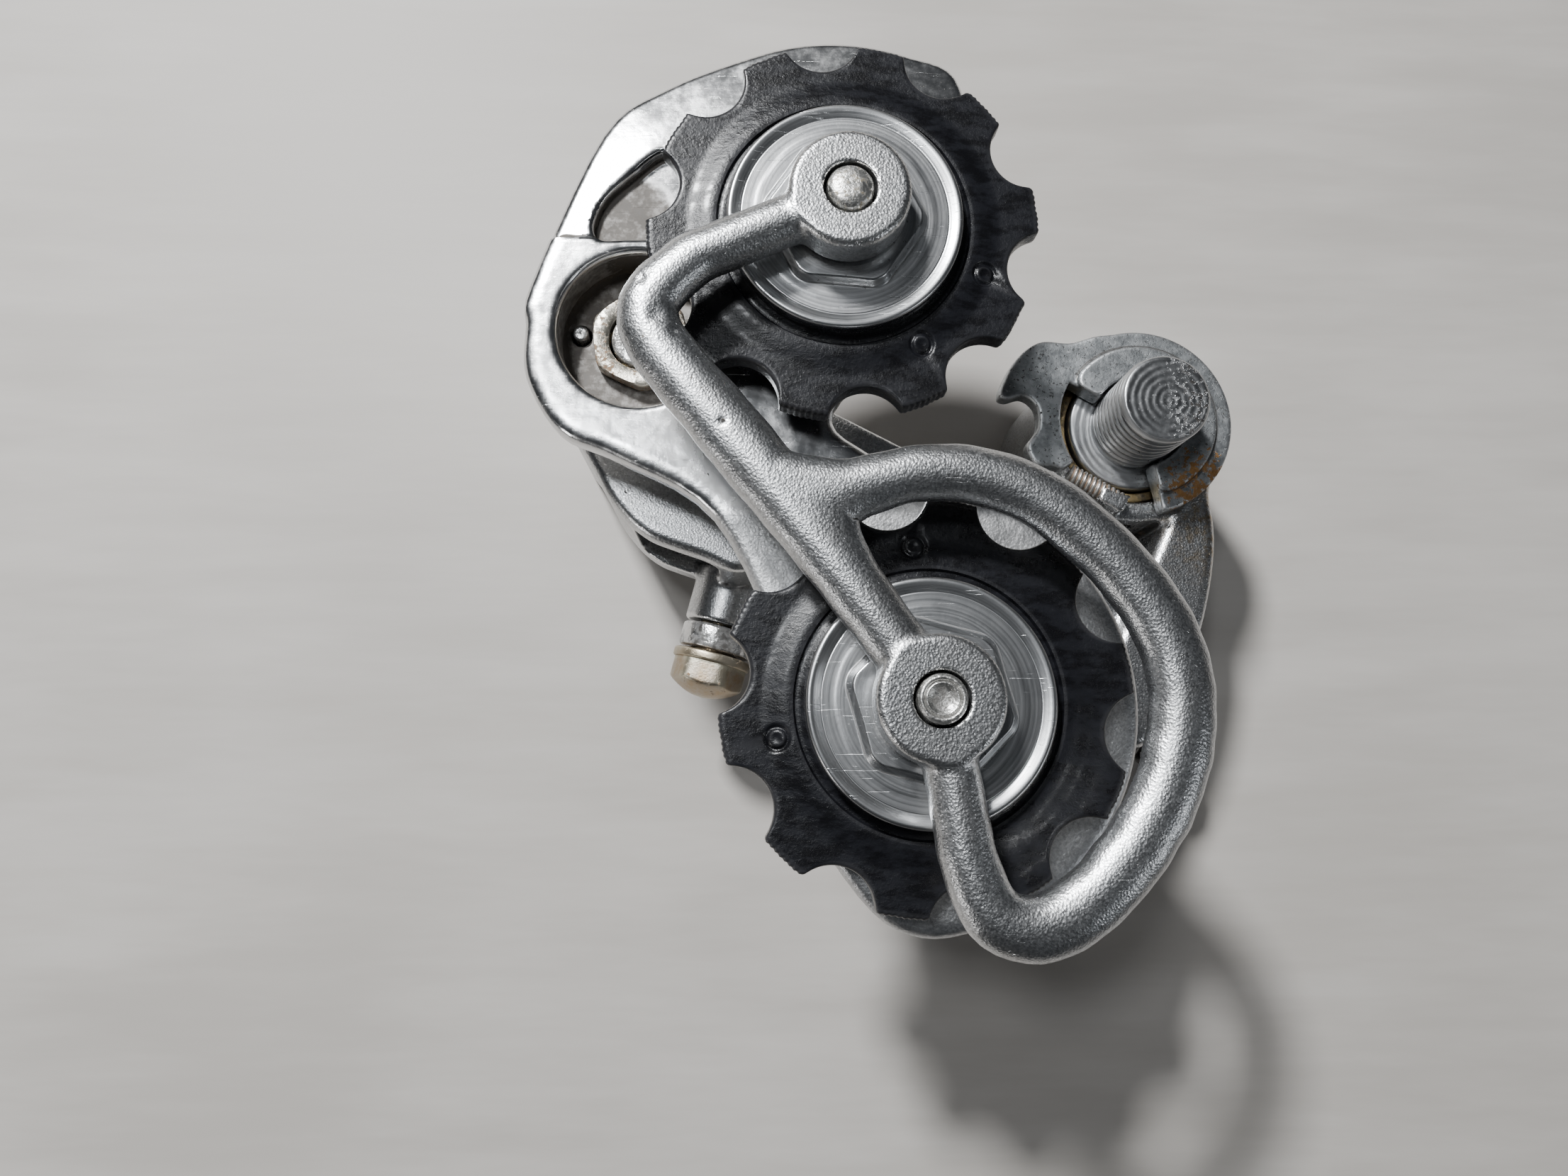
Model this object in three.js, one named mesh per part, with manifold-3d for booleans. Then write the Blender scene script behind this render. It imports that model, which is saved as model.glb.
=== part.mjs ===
// Rear bicycle derailleur, modelled in millimetres with +Z up.
//
// The origin lies on the axis of the mounting bolt, at the face that seats on the frame's hanger.
// +Z runs along the bolt towards the wheel, and the body lies towards -X.
// The outboard ends of both knuckles lie in one plane, on which the derailleur rests.
import * as THREE from "three";
import { mergeVertices } from "three/addons/utils/BufferGeometryUtils.js";
import Module from "manifold-3d";

const wasm = await Module();
wasm.setup();

const rad = THREE.MathUtils.degToRad;

// ---- Driving dimensions -------------------------------------------------------------------------

const gap = 0.3; // between pieces that touch, seat or run on each other

// Pivots, seen along the bolt axis
const pivotSpacing = 56.7; // mounting bolt to cage pivot
const pivotDirection = rad(175.45);
const guideReach = 22.1; // cage pivot to guide pulley
const guideDirection = rad(22.4);
const pulleySpacing = 47.1; // guide pulley to tension pulley
const pulleyDirection = rad(-80.95);

// Levels along Z
const restLevel = -25; // outboard ends of the knuckles
const plateInnerFace = 14.6; // inboard face of the outer cage plate
const cageBottom = 5; // underside of the cage's pivot housing

// Mounting bolt and hanger stop
const boltRadius = 4.95;
const boltLength = 7.8; // thread that stands out of the hanger face
const threadPitch = 1;
const boltShoulderRadius = 7.4;
const boltShoulderLength = 6;
const boltShankRadius = 4.6;
const boltHeadRadius = 8.2;
const boltHeadHeight = 3.6;
const socketAcrossFlats = 6;
const socketDepth = 2.6;
const stopRadius = 10.85;
const stopThickness = 2.4;
const landHeight = 0.6; // raised ring that the hanger seats on
const bushWall = 1;
const tensionScrewRadius = 1.1;
const bodySwing = rad(20); // travel of the upper knuckle from its stop

// Upper knuckle
const upperRadius = 11.2;
const knuckleWall = 2;
const armTop = -3;
const armBottom = -23.5;
const springWire = 1.8;

// Parallelogram
const upperPinOffset = [-5.5, -21]; // from the mounting bolt axis
const lowerPinOffset = [13.2, -8.7]; // from the cage pivot
const upperInnerPinLevel = -7.5;
const pinStep = 11; // outer pins lie this far outboard of the inner ones
const linkRise = 7.3; // lower pins above upper pins at rest
const linkWidth = 14;
const linkHalf = 2.8;
const earThickness = 2.6;
const pinRadius = 1.5;
const lugRadius = 3.2;

// Lower knuckle
const lowerRadius = 10.9;
const housingTop = 4.7;
const housingBottom = -14;
const housingWall = 1.8;
const returnWire = 1.1;

// Cage
const plateThickness = 2.8;
const pocketRadius = 8.2;
const pocketDepth = 5;
const pocketFloor = 2.6;
const pivotShaftRadius = 3;
const pivotHeadRadius = 7.2;
const pivotHeadHeight = 3.2;
const nutAcrossFlats = 9.5;
const nutHeight = 1.8;
const barWidth = 6.2;
const barHeight = 4.2;
const bossRadius = 5.7;
const bossHeight = 4.1;
const loopScale = 1; // size of the loop about the tension pulley
const plateGuideRadius = 24.3;
const plateTensionRadius = 21.8;

// Pulleys
const chainPitch = 12.7;
const rollerRadius = 3.95;
const teeth = 10;
const toothTipRadius = 19.4;
const toothThickness = 2.4;
const hubThickness = 3.4;
const hubRadius = 15.6;
const axleRadius = 2.2;
const pulleyBushWall = 1.1;
const shieldRadius = 11.4;
const shieldThickness = 0.8;
const shieldRim = 1.6;
const hexAcrossCorners = 17.2;
const guideHexagonTurn = rad(-4.3);
const tensionHexagonTurn = rad(-14.6);
const hexHeight = 0.8; // above the shield's web
const guidePhase = rad(6);
const tensionPhase = rad(10);

// Cable fittings
const adjusterRadius = 2.4;
const adjusterHeadRadius = 3.6;
const cableBore = 0.9;
const adjusterWire = 0.7;
const fluteCount = 10;
const limitScrewRadius = 1.5;
const limitHeadRadius = 2.1;
const slotHalfWidth = 0.35;
const clampRadius = 4.3;
const clampScrewRadius = 2.4;
const clampHexAcrossFlats = 8;
const clampDirection = rad(-104.5);

// ---- Materials ----------------------------------------------------------------------------------

function finish(color, roughness, metalness) {
  return () => new THREE.MeshStandardMaterial({ color, roughness, metalness });
}

const castAlloy = finish(0xc4c6c8, 0.42, 0.95);
const polishedAlloy = finish(0xd6d8da, 0.22, 1);
const satinSteel = finish(0xa9abad, 0.36, 1);
const brightSteel = finish(0xbfc1c2, 0.25, 1);
const springSteel = finish(0x56524d, 0.45, 1);
const rustySteel = finish(0x8c8071, 0.5, 0.9);
const bronze = finish(0xa98a55, 0.45, 1);
const blackResin = finish(0x17191c, 0.38, 0);

// ---- Places worked out from the driving dimensions ----------------------------------------------

const polar = (from, radius, angle) =>
  new THREE.Vector2(from.x + radius * Math.cos(angle), from.y + radius * Math.sin(angle));
const offset = (from, [x, y]) => new THREE.Vector2(from.x + x, from.y + y);

const boltAxis = new THREE.Vector2(0, 0);
const cagePivot = polar(boltAxis, pivotSpacing, pivotDirection);
const guideAxis = polar(cagePivot, guideReach, guideDirection);
const tensionAxis = polar(guideAxis, pulleySpacing, pulleyDirection);

const upperPins = offset(boltAxis, upperPinOffset);
const lowerPins = offset(cagePivot, lowerPinOffset);
const linkSlant = Math.atan2(upperPins.y - lowerPins.y, upperPins.x - lowerPins.x);
const linkRun = upperPins.distanceTo(lowerPins);
const linkLength = Math.hypot(linkRun, linkRise);
const linkAngle = Math.atan2(linkRise, linkRun);
const pinLevels = {
  upperInner: upperInnerPinLevel,
  upperOuter: upperInnerPinLevel - pinStep,
  lowerInner: upperInnerPinLevel + linkRise,
  lowerOuter: upperInnerPinLevel - pinStep + linkRise,
};
const lugHalf = linkWidth / 2 - earThickness - gap;
const earRoom = linkHalf + 1.6; // from a pin's axis to the end of the slot in a link

const pulleyMiddle = plateInnerFace + gap + 2.6 + hubThickness / 2;
const shieldLevel = pulleyMiddle + hubThickness / 2 + gap;
const shieldStep = 0.5; // the web lies this far above the shield's edge
const hexTop = shieldLevel + shieldStep + shieldThickness + hexHeight;
const barMiddle = Math.max(hexTop, shieldLevel + shieldRim) + gap + barHeight / 2;
const bossTop = barMiddle + barHeight / 2 + 0.2;
const pocketLevel = plateInnerFace - pocketDepth;
const boreRadius = lowerRadius - knuckleWall - gap;

// ---- Solids -------------------------------------------------------------------------------------

// A closed geometry as a solid. A profile may run either way round, so faces are turned outwards here.
function solid(geometry) {
  const bare = geometry.index ? geometry.toNonIndexed() : geometry.clone();
  bare.deleteAttribute("normal");
  bare.deleteAttribute("uv");
  const merged = mergeVertices(bare, 1e-4);
  const corners = merged.index.array;
  const triangles = [];
  for (let i = 0; i < corners.length; i += 3) {
    const [a, b, c] = [corners[i], corners[i + 1], corners[i + 2]];
    if (a !== b && b !== c && c !== a) triangles.push(a, b, c);
  }
  const places = merged.attributes.position.array;
  const outward = signedVolume(places, triangles) >= 0;
  const triVerts = new Uint32Array(outward ? triangles : triangles.reverse());
  return new wasm.Manifold(new wasm.Mesh({ numProp: 3, vertProperties: places, triVerts }));
}

function signedVolume(places, triangles) {
  const [a, b, c] = [new THREE.Vector3(), new THREE.Vector3(), new THREE.Vector3()];
  let volume = 0;
  for (let i = 0; i < triangles.length; i += 3) {
    a.fromArray(places, 3 * triangles[i]);
    b.fromArray(places, 3 * triangles[i + 1]);
    c.fromArray(places, 3 * triangles[i + 2]);
    volume += a.dot(b.cross(c)) / 6;
  }
  return volume;
}

function geometryOf(manifold) {
  const mesh = manifold.getMesh();
  const geometry = new THREE.BufferGeometry();
  geometry.setAttribute("position", new THREE.BufferAttribute(mesh.vertProperties, 3));
  geometry.setIndex(new THREE.BufferAttribute(mesh.triVerts, 1));
  const flat = geometry.toNonIndexed();
  flat.computeVertexNormals();
  return flat;
}

// Joins the first solids and then cuts the others away.
function build(joined, cut = []) {
  let body = joined.map(solid).reduce((sum, piece) => sum.add(piece));
  for (const piece of cut) body = body.subtract(solid(piece));
  return geometryOf(body);
}

// ---- Shapes -------------------------------------------------------------------------------------

// Revolves a profile of [radius, level] points about Z.
function turned(profile, segments = 28) {
  const points = profile.map(([radius, level]) => new THREE.Vector2(radius, level));
  return new THREE.LatheGeometry(points, segments).rotateX(Math.PI / 2);
}

function disc(radius, low, high, segments = 28) {
  return turned([[0, low], [radius, low], [radius, high], [0, high]], segments);
}

function tube(inner, outer, low, high, segments = 28) {
  return turned([[inner, low], [outer, low], [outer, high], [inner, high], [inner, low]], segments);
}

function prism(points, low, high) {
  const settings = { depth: high - low, bevelEnabled: false, curveSegments: 1 };
  return new THREE.ExtrudeGeometry(new THREE.Shape(points), settings).translate(0, 0, low);
}

function block([x0, x1], [y0, y1], [z0, z1]) {
  const box = new THREE.BoxGeometry(x1 - x0, y1 - y0, z1 - z0);
  return box.translate((x0 + x1) / 2, (y0 + y1) / 2, (z0 + z1) / 2);
}

// A round bar between two points given as [x, y, z].
function rod(radius, from, to, segments = 20) {
  const start = new THREE.Vector3(...from);
  const run = new THREE.Vector3(...to).sub(start);
  const turn = new THREE.Quaternion().setFromUnitVectors(
    new THREE.Vector3(0, 1, 0),
    run.clone().normalize(),
  );
  const bar = new THREE.CylinderGeometry(radius, radius, run.length(), segments);
  bar.applyQuaternion(turn);
  const middle = start.addScaledVector(run, 0.5);
  return bar.translate(middle.x, middle.y, middle.z);
}

function hexagon(acrossFlats, low, high) {
  const corner = acrossFlats / Math.sqrt(3);
  return disc(corner, low, high, 6);
}

// A closed smooth outline through a few points.
function smooth(points, steps) {
  const through = points.map((p) => new THREE.Vector3(p.x, p.y, 0));
  const curve = new THREE.CatmullRomCurve3(through, true, "centripetal");
  return curve.getPoints(steps).slice(0, -1).map((p) => new THREE.Vector2(p.x, p.y));
}

function arc(middle, radius, from, to, steps) {
  const points = [];
  for (let i = 0; i <= steps; i++) {
    points.push(polar(middle, radius, from + ((to - from) * i) / steps));
  }
  return points;
}

// Moves a geometry made about the origin to a place seen along Z, turned by an angle.
function placed(geometry, place, angle = 0) {
  return geometry.rotateZ(angle).translate(place.x, place.y, 0);
}

class Helix extends THREE.Curve {
  constructor(radius, pitch, turns) {
    super();
    Object.assign(this, { radius, pitch, turns });
  }

  getPoint(t, target = new THREE.Vector3()) {
    const angle = 2 * Math.PI * this.turns * t;
    const height = this.pitch * this.turns * (t - 0.5);
    return target.set(this.radius * Math.cos(angle), this.radius * Math.sin(angle), height);
  }
}

// A coil spring along Z between two levels, drawn inside the outer radius given.
function coil(outer, wire, low, high, turns) {
  const pitch = (high - low - wire) / turns;
  const section = new THREE.Shape(arc(new THREE.Vector2(0, 0), wire / 2, 0, 2 * Math.PI * (5 / 6), 5));
  const path = new Helix(outer - wire / 2, pitch, turns);
  const settings = { steps: Math.ceil(11 * turns), extrudePath: path, bevelEnabled: false };
  return new THREE.ExtrudeGeometry(section, settings).translate(0, 0, (low + high) / 2);
}

// Carries an oval section along a smooth path that lies level.
function bar(points, level, steps) {
  const path = new THREE.CatmullRomCurve3(
    points.map((p) => new THREE.Vector3(p.x, p.y, level)),
    false,
    "centripetal",
  );
  const section = new THREE.Shape();
  section.absellipse(0, 0, barHeight / 2, barWidth / 2, 0, 2 * Math.PI, false, 0);
  const outline = new THREE.Shape(section.getPoints(5).slice(0, -1));
  return new THREE.ExtrudeGeometry(outline, { steps, extrudePath: path, bevelEnabled: false });
}

// Moves a shape made in the links' frame, whose X runs from the lower pins to the upper pins and
// whose Y runs along the pins.
const atUpperPins = (geometry) => placed(geometry, upperPins, linkSlant);
const atLowerPins = (geometry) => placed(geometry, lowerPins, linkSlant);

const root = new THREE.Group();

function add(name, geometry, material) {
  const mesh = new THREE.Mesh(geometry, material());
  mesh.name = name;
  root.add(mesh);
}

// ---- Mounting bolt and hanger stop --------------------------------------------------------------

const stopUnderside = -landHeight - stopThickness;
const knuckleTop = stopUnderside - gap;
const shoulderBottom = knuckleTop - boltShoulderLength;
const headTop = restLevel + gap + boltHeadHeight;
const upperBore = boltShoulderRadius + gap + bushWall + gap;
const springFloor = shoulderBottom - 9;
const stopEdge = rad(212); // end of the stop that the tension screw's tip meets
const pegAngle = rad(250);
const pegReach = upperBore + 0.3;

function threadProfile(from, to) {
  const depth = 0.35 * threadPitch;
  const ridges = Math.floor((to - from) / threadPitch);
  const profile = [];
  for (let i = 0; i < ridges; i++) {
    const level = from + i * threadPitch;
    profile.push([boltRadius - depth, level], [boltRadius, level + threadPitch / 2]);
  }
  return profile;
}

function mountingBolt() {
  const body = turned([
    [0, restLevel + gap],
    [boltHeadRadius - 0.6, restLevel + gap],
    [boltHeadRadius, restLevel + gap + 0.6],
    [boltHeadRadius, headTop],
    [boltShankRadius, headTop],
    [boltShankRadius, shoulderBottom],
    [boltShoulderRadius, shoulderBottom],
    [boltShoulderRadius, knuckleTop],
    [boltShankRadius, knuckleTop],
    ...threadProfile(0, boltLength - 0.6),
    [boltRadius - 0.35, boltLength],
    [0, boltLength],
  ], 22);
  const socket = hexagon(socketAcrossFlats, restLevel, restLevel + gap + socketDepth);
  return build([body], [socket]);
}

function wedge(radius, from, to, low, high) {
  return prism([boltAxis, ...arc(boltAxis, radius, from, to, 12)], low, high);
}

// The hook catches the tab at the back of the hanger. The stop is cut away where the peg travels.
function hangerStop() {
  const landOuter = stopRadius - 2;
  const landInner = boltRadius + gap;
  const windowStart = rad(150);
  const windowEnd = pegAngle + bodySwing + rad(12);
  const hook = smooth(
    [
      [-3, 9.2], [-8, 9.4], [-11.5, 9.4], [-14.4, 7], [-16.2, 3.4], [-15.4, 2.5],
      [-13.4, 2.9], [-11.9, 1.6], [-11.8, -0.9], [-13.2, -3.2], [-11.4, -5.4], [-6, -3],
    ].map((p) => offset(boltAxis, p).multiplyScalar(stopRadius / 10.85)),
    40,
  );
  return build(
    [
      disc(stopRadius, stopUnderside, -landHeight, 48),
      disc(landOuter, stopUnderside, 0, 48),
      prism(hook, stopUnderside, -landHeight),
    ],
    [
      disc(landInner, stopUnderside - 1, 1, 32),
      wedge(upperBore + 0.2, windowStart, windowEnd, stopUnderside - 1, 1),
      wedge(2 * stopRadius, stopEdge, windowEnd, stopUnderside - 1, 1),
    ],
  );
}

// The peg rises from the knuckle and holds the tension screw, whose tip meets the end of the stop.
const pegMiddle = polar(boltAxis, pegReach, pegAngle);
const screwTip = polar(boltAxis, pegReach + 0.7, stopEdge + rad(4));
const screwLevel = knuckleTop + 1.4;
const screwRun = screwTip.clone().sub(pegMiddle).normalize();

function screwPoint(distance) {
  return [pegMiddle.x + screwRun.x * distance, pegMiddle.y + screwRun.y * distance, screwLevel];
}

function tensionPeg() {
  const peg = block([-1.6, 1.6], [-1.6, 1.6], [knuckleTop - 0.5, -0.2]);
  return placed(peg, pegMiddle, Math.atan2(screwRun.y, screwRun.x));
}

function tensionScrew() {
  const length = screwTip.distanceTo(pegMiddle);
  const body = rod(tensionScrewRadius, screwPoint(-1.6), screwPoint(length), 16);
  const slot = rod(0.35, screwPoint(-2), screwPoint(-1), 8);
  return build([body], [slot]);
}

// ---- Upper knuckle ------------------------------------------------------------------------------

const armNear = earRoom - 0.4; // clear of the links' turning ears
const armFar = armNear + 8.6;
const boltSeen = boltAxis.clone().sub(upperPins).rotateAround(new THREE.Vector2(), -linkSlant);
const adjusterY = -linkWidth / 2 - 2.5;
const adjusterLevel = -15;
const adjusterHead = armFar + 3.4;
const adjusterHeadLength = 3.6;
const limitLevel = (pinLevels.upperInner + pinLevels.upperOuter) / 2;
const limitY = 2.4;
const limitTip = 1.2;
const limitHeads = armFar + 0.2;

function pinHoles(place, inner, outer) {
  const half = linkWidth / 2 + 1;
  return [inner, outer].map((level) =>
    placed(rod(pinRadius + gap, [0, -half, level], [0, half, level], 16), place, linkSlant));
}

function lug(place, side, inner, outer, reach) {
  const web = block(
    [Math.min(side, reach), Math.max(side, reach)],
    [-lugHalf, lugHalf],
    [outer - lugRadius, inner + lugRadius],
  );
  const ends = [inner, outer].map((level) =>
    rod(lugRadius, [0, -lugHalf, level], [0, lugHalf, level]));
  return [web, ...ends].map((piece) => placed(piece, place, linkSlant));
}

function upperKnuckle() {
  const barrel = turned([
    [0, restLevel], [upperRadius - 1, restLevel], [upperRadius, restLevel + 1],
    [upperRadius, knuckleTop], [0, knuckleTop],
  ], 36);
  const arm = smooth([
    new THREE.Vector2(armNear, boltSeen.y - 6),
    new THREE.Vector2(armNear, -2),
    new THREE.Vector2(armNear, adjusterY - 3),
    new THREE.Vector2(armFar - 1.5, adjusterY - 3.5),
    new THREE.Vector2(armFar, adjusterY + 4),
    new THREE.Vector2(armFar, 4),
    new THREE.Vector2(boltSeen.x + upperRadius + 2.2, boltSeen.y - 7),
    new THREE.Vector2(boltSeen.x + upperRadius - 3, boltSeen.y),
    new THREE.Vector2(boltSeen.x + 4, boltSeen.y - 4),
  ], 40);
  const bores = [
    disc(upperBore, springFloor, 0, 40),
    disc(boltShankRadius + gap, restLevel - 1, 0, 32),
    disc(boltHeadRadius + gap, restLevel - 1, headTop + gap, 40),
  ];
  const adjusterHole = atUpperPins(
    rod(adjusterRadius + gap, adjusterPoint(armNear - 3), adjusterPoint(armFar + 3)),
  );
  const limitHoles = [-limitY, limitY].map((y) =>
    atUpperPins(rod(limitScrewRadius + gap, [-5, y, limitLevel], [armFar + 3, y, limitLevel], 16)));
  return build(
    [
      barrel,
      atUpperPins(prism(arm, armBottom, armTop)),
      ...lug(upperPins, 1, pinLevels.upperInner, pinLevels.upperOuter, armNear + 2),
      tensionPeg(),
    ],
    [
      ...bores,
      adjusterHole,
      ...limitHoles,
      ...pinHoles(upperPins, pinLevels.upperInner, pinLevels.upperOuter),
      rod(tensionScrewRadius + gap, screwPoint(-4), screwPoint(5), 16),
    ],
  );
}

function knuckleBush() {
  const inner = boltShoulderRadius + gap;
  return build([tube(inner, inner + bushWall, shoulderBottom, knuckleTop - 0.9)]);
}

function bodySpring() {
  return build([coil(upperBore - gap, springWire, springFloor + gap, shoulderBottom - gap, 3)]);
}

function limitScrew(y) {
  const point = (x) => [x, y, limitLevel];
  const shank = rod(limitScrewRadius, point(limitTip), point(limitHeads + 1), 14);
  const head = rod(limitHeadRadius, point(limitHeads + gap), point(limitHeads + 2), 16);
  const slotFloor = limitHeads + 1.3;
  const slot = block(
    [slotFloor, slotFloor + 2],
    [y - slotHalfWidth, y + slotHalfWidth],
    [limitLevel - 3, limitLevel + 3],
  );
  return atUpperPins(build([shank, head], [slot]));
}

function adjusterPoint(x, radius = 0, around = 0) {
  return [x, adjusterY + radius * Math.cos(around), adjusterLevel + radius * Math.sin(around)];
}

function adjuster() {
  const [head, end] = [adjusterHead, adjusterHead + adjusterHeadLength];
  const flutes = [];
  for (let i = 0; i < fluteCount; i++) {
    const around = (2 * Math.PI * i) / fluteCount;
    const reach = adjusterHeadRadius + 0.25;
    const under = adjusterPoint(head - 1, reach, around);
    const over = adjusterPoint(end + 1, reach, around);
    flutes.push(rod(0.6, under, over, 6));
  }
  return atUpperPins(build(
    [
      rod(adjusterRadius, adjusterPoint(armNear - 1.2), adjusterPoint(head + 1)),
      rod(adjusterHeadRadius, adjusterPoint(head), adjusterPoint(end), 30),
    ],
    [rod(cableBore, adjusterPoint(armNear - 3), adjusterPoint(end + 1), 12), ...flutes],
  ));
}

function adjusterSpring() {
  const spring = coil(adjusterHeadRadius, adjusterWire, armFar + gap, adjusterHead - gap, 2);
  spring.rotateY(Math.PI / 2).translate(0, adjusterY, adjusterLevel);
  return atUpperPins(build([spring]));
}

// ---- Parallelogram ------------------------------------------------------------------------------

// A link is made level along X, its upper pin at the origin, and then raised to its angle.
function link(upperLevel, cover) {
  const half = linkWidth / 2;
  const slotHalf = lugHalf + gap;
  const ends = [0, -linkLength].map((x) => rod(linkHalf, [x, -half, 0], [x, half, 0]));
  const web = block([-linkLength, 0], [-half, half], [-linkHalf, linkHalf]);
  const slots = [
    block([-earRoom, linkHalf + 1], [-slotHalf, slotHalf], [-9, 9]),
    block([-linkLength - linkHalf - 1, -linkLength + earRoom], [-slotHalf, slotHalf], [-9, 9]),
  ];
  const holes = [0, -linkLength].map((x) =>
    rod(pinRadius + gap, [x, -half - 1, 0], [x, half + 1, 0], 16));
  const made = build([web, ...ends, ...cover.joined], [...slots, ...holes, ...cover.cut]);
  return atUpperPins(made.rotateY(linkAngle).translate(0, 0, upperLevel));
}

function outerLink() {
  const middle = new THREE.Vector2(-linkLength / 2, 0);
  const crown = arc(middle, linkLength / 2 - earRoom, Math.PI, 2 * Math.PI, 12)
    .map((p) => new THREE.Vector2(p.x, Math.max(p.y * 0.16, -3) - linkHalf + 0.6));
  const cover = prism(crown, -linkWidth / 2, linkWidth / 2).rotateX(Math.PI / 2);
  return link(pinLevels.upperOuter, { joined: [cover], cut: [] });
}

function innerLink() {
  const opening = block([-linkLength + 11, -11], [-linkWidth / 2 + 3.4, linkWidth / 2 - 3.4], [-9, 9]);
  return link(pinLevels.upperInner, { joined: [], cut: [opening] });
}

function linkPin(place, level, low, high) {
  const body = rod(pinRadius, [0, low, level], [0, high, level], 16);
  return placed(build([body]), place, linkSlant);
}

// ---- Lower knuckle ------------------------------------------------------------------------------

const floorTop = restLevel + gap + pivotHeadHeight + gap + 6.5;
const housing = [
  [-4.8, -13.4], [-2.1, -17.4], [0.5, -19.6], [3.1, -20.7], [6.6, -21.9], [10.1, -23.3],
  [13.4, -21.8], [14, -17], [9, -8], [0, 0], [-8, -5],
].map((p) => offset(cagePivot, p));
const returnStart = -linkWidth / 2 - 1.5;
const returnEnd = returnStart - 4.1;
const returnOuter = pinRadius + 2 * gap + returnWire;
const clampStart = offset(cagePivot, [10.1, -20]);
const clampLevel = housingBottom + clampRadius;

function clampPoint(distance) {
  const point = polar(clampStart, distance, clampDirection);
  return [point.x, point.y, clampLevel];
}

const clampSeat = 7.8;

function housingRoom() {
  const middle = housing.reduce((sum, p) => sum.clone().add(p)).divideScalar(housing.length);
  const inner = housing.map((p) => {
    const inward = middle.clone().sub(p);
    return p.clone().addScaledVector(inward.normalize(), 1.25 * housingWall);
  });
  return prism(smooth(inner, 24), housingBottom + 2.5, housingTop - 1.2);
}

function housingWindow() {
  const window = block([-5.6, 4.6], [-6, 3], [housingBottom + 4.5, housingTop - 2.2]);
  return placed(window, offset(cagePivot, [4.2, -19.6]), rad(-22));
}

function lowerKnuckle() {
  const barrel = turned([
    [0, restLevel], [lowerRadius - 1, restLevel], [lowerRadius, restLevel + 1],
    [lowerRadius, housingTop], [0, housingTop],
  ], 36);
  const linkRoom = atLowerPins(block([-linkHalf - 0.9, 24], [-linkWidth / 2 - 0.7, 30], [-30, 30]));
  const shell = build(
    [prism(smooth(housing, 36), housingBottom, housingTop)],
    [linkRoom.clone(), housingRoom(), housingWindow()],
  );
  const barrelAt = placed(barrel, cagePivot);
  const bores = [
    disc(boreRadius, floorTop, housingTop + 1, 40),
    disc(pivotShaftRadius + gap, restLevel - 1, housingTop + 1, 28),
    disc(pivotHeadRadius + gap, restLevel - 1, restLevel + gap + pivotHeadHeight + gap, 40),
  ].map((piece) => placed(piece, cagePivot));
  const neckReach = -lowerPinDistance() + lowerRadius - 1.5;
  return build(
    [
      barrelAt,
      shell,
      ...lug(lowerPins, -1, pinLevels.lowerInner, pinLevels.lowerOuter, neckReach),
      rod(clampRadius, clampPoint(1), clampPoint(clampSeat), 24),
    ],
    [
      ...bores,
      rod(clampScrewRadius + gap, clampPoint(-0.5), clampPoint(clampSeat + 1), 16),
      ...pinHoles(lowerPins, pinLevels.lowerInner, pinLevels.lowerOuter),
      alongLowerPin(pinRadius + gap, 0, returnEnd - 1.7),
      alongLowerPin(returnOuter + gap, returnStart + 1, returnEnd),
    ],
  );
}

function alongLowerPin(radius, from, to) {
  return atLowerPins(rod(radius, [0, from, pinLevels.lowerInner], [0, to, pinLevels.lowerInner], 16));
}

function lowerPinDistance() {
  return Math.hypot(...lowerPinOffset);
}

function returnSpring() {
  const spring = coil(returnOuter, returnWire, returnEnd + gap, returnStart, 3);
  spring.rotateX(-Math.PI / 2);
  return atLowerPins(build([spring]).translate(0, 0, pinLevels.lowerInner));
}

function clampWasher() {
  const body = rod(clampRadius, clampPoint(clampSeat + gap), clampPoint(clampSeat + 3.2), 28);
  const hole = rod(clampScrewRadius + gap, clampPoint(clampSeat), clampPoint(clampSeat + 4), 16);
  return build([body], [hole]);
}

function clampBolt() {
  const corner = clampHexAcrossFlats / Math.sqrt(3);
  const under = clampSeat + 3.5;
  return build([
    rod(clampScrewRadius, clampPoint(0.5), clampPoint(under + 1), 16),
    rod(clampRadius + 0.3, clampPoint(under), clampPoint(under + 1.1), 28),
    rod(corner, clampPoint(under + 0.5), clampPoint(under + 4.4), 6),
    rod(clampHexAcrossFlats / 2 - 0.6, clampPoint(under + 4), clampPoint(under + 5.2), 20),
  ]);
}

// ---- Cage pivot ---------------------------------------------------------------------------------

function pivotBolt() {
  const top = pocketLevel + nutHeight + 0.1;
  const low = restLevel + gap;
  const head = low + pivotHeadHeight;
  const body = turned([
    [0, low], [pivotHeadRadius - 0.6, low], [pivotHeadRadius, low + 0.6],
    [pivotHeadRadius, head], [pivotShaftRadius, head], [pivotShaftRadius, top - 0.5],
    [pivotShaftRadius - 0.5, top], [0, top],
  ]);
  const socket = hexagon(socketAcrossFlats, restLevel, low + socketDepth);
  return placed(build([body], [socket]), cagePivot);
}

function pivotNut() {
  const body = hexagon(nutAcrossFlats, pocketLevel + gap, pocketLevel + gap + nutHeight);
  const bore = disc(pivotShaftRadius + gap, pocketLevel, pocketLevel + nutHeight + 1, 28);
  return placed(build([body], [bore]), cagePivot, rad(5));
}

const bushOuter = pivotShaftRadius + gap + bushWall;

function cageBush() {
  const bush = tube(pivotShaftRadius + gap, bushOuter, cageBottom - 0.5, pocketLevel - 0.2, 28);
  return placed(build([bush]), cagePivot);
}

function cageSpring() {
  const spring = coil(boreRadius - gap, springWire, floorTop + gap, cageBottom + chamberDepth() - gap, 5);
  return placed(build([spring]), cagePivot);
}

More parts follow.
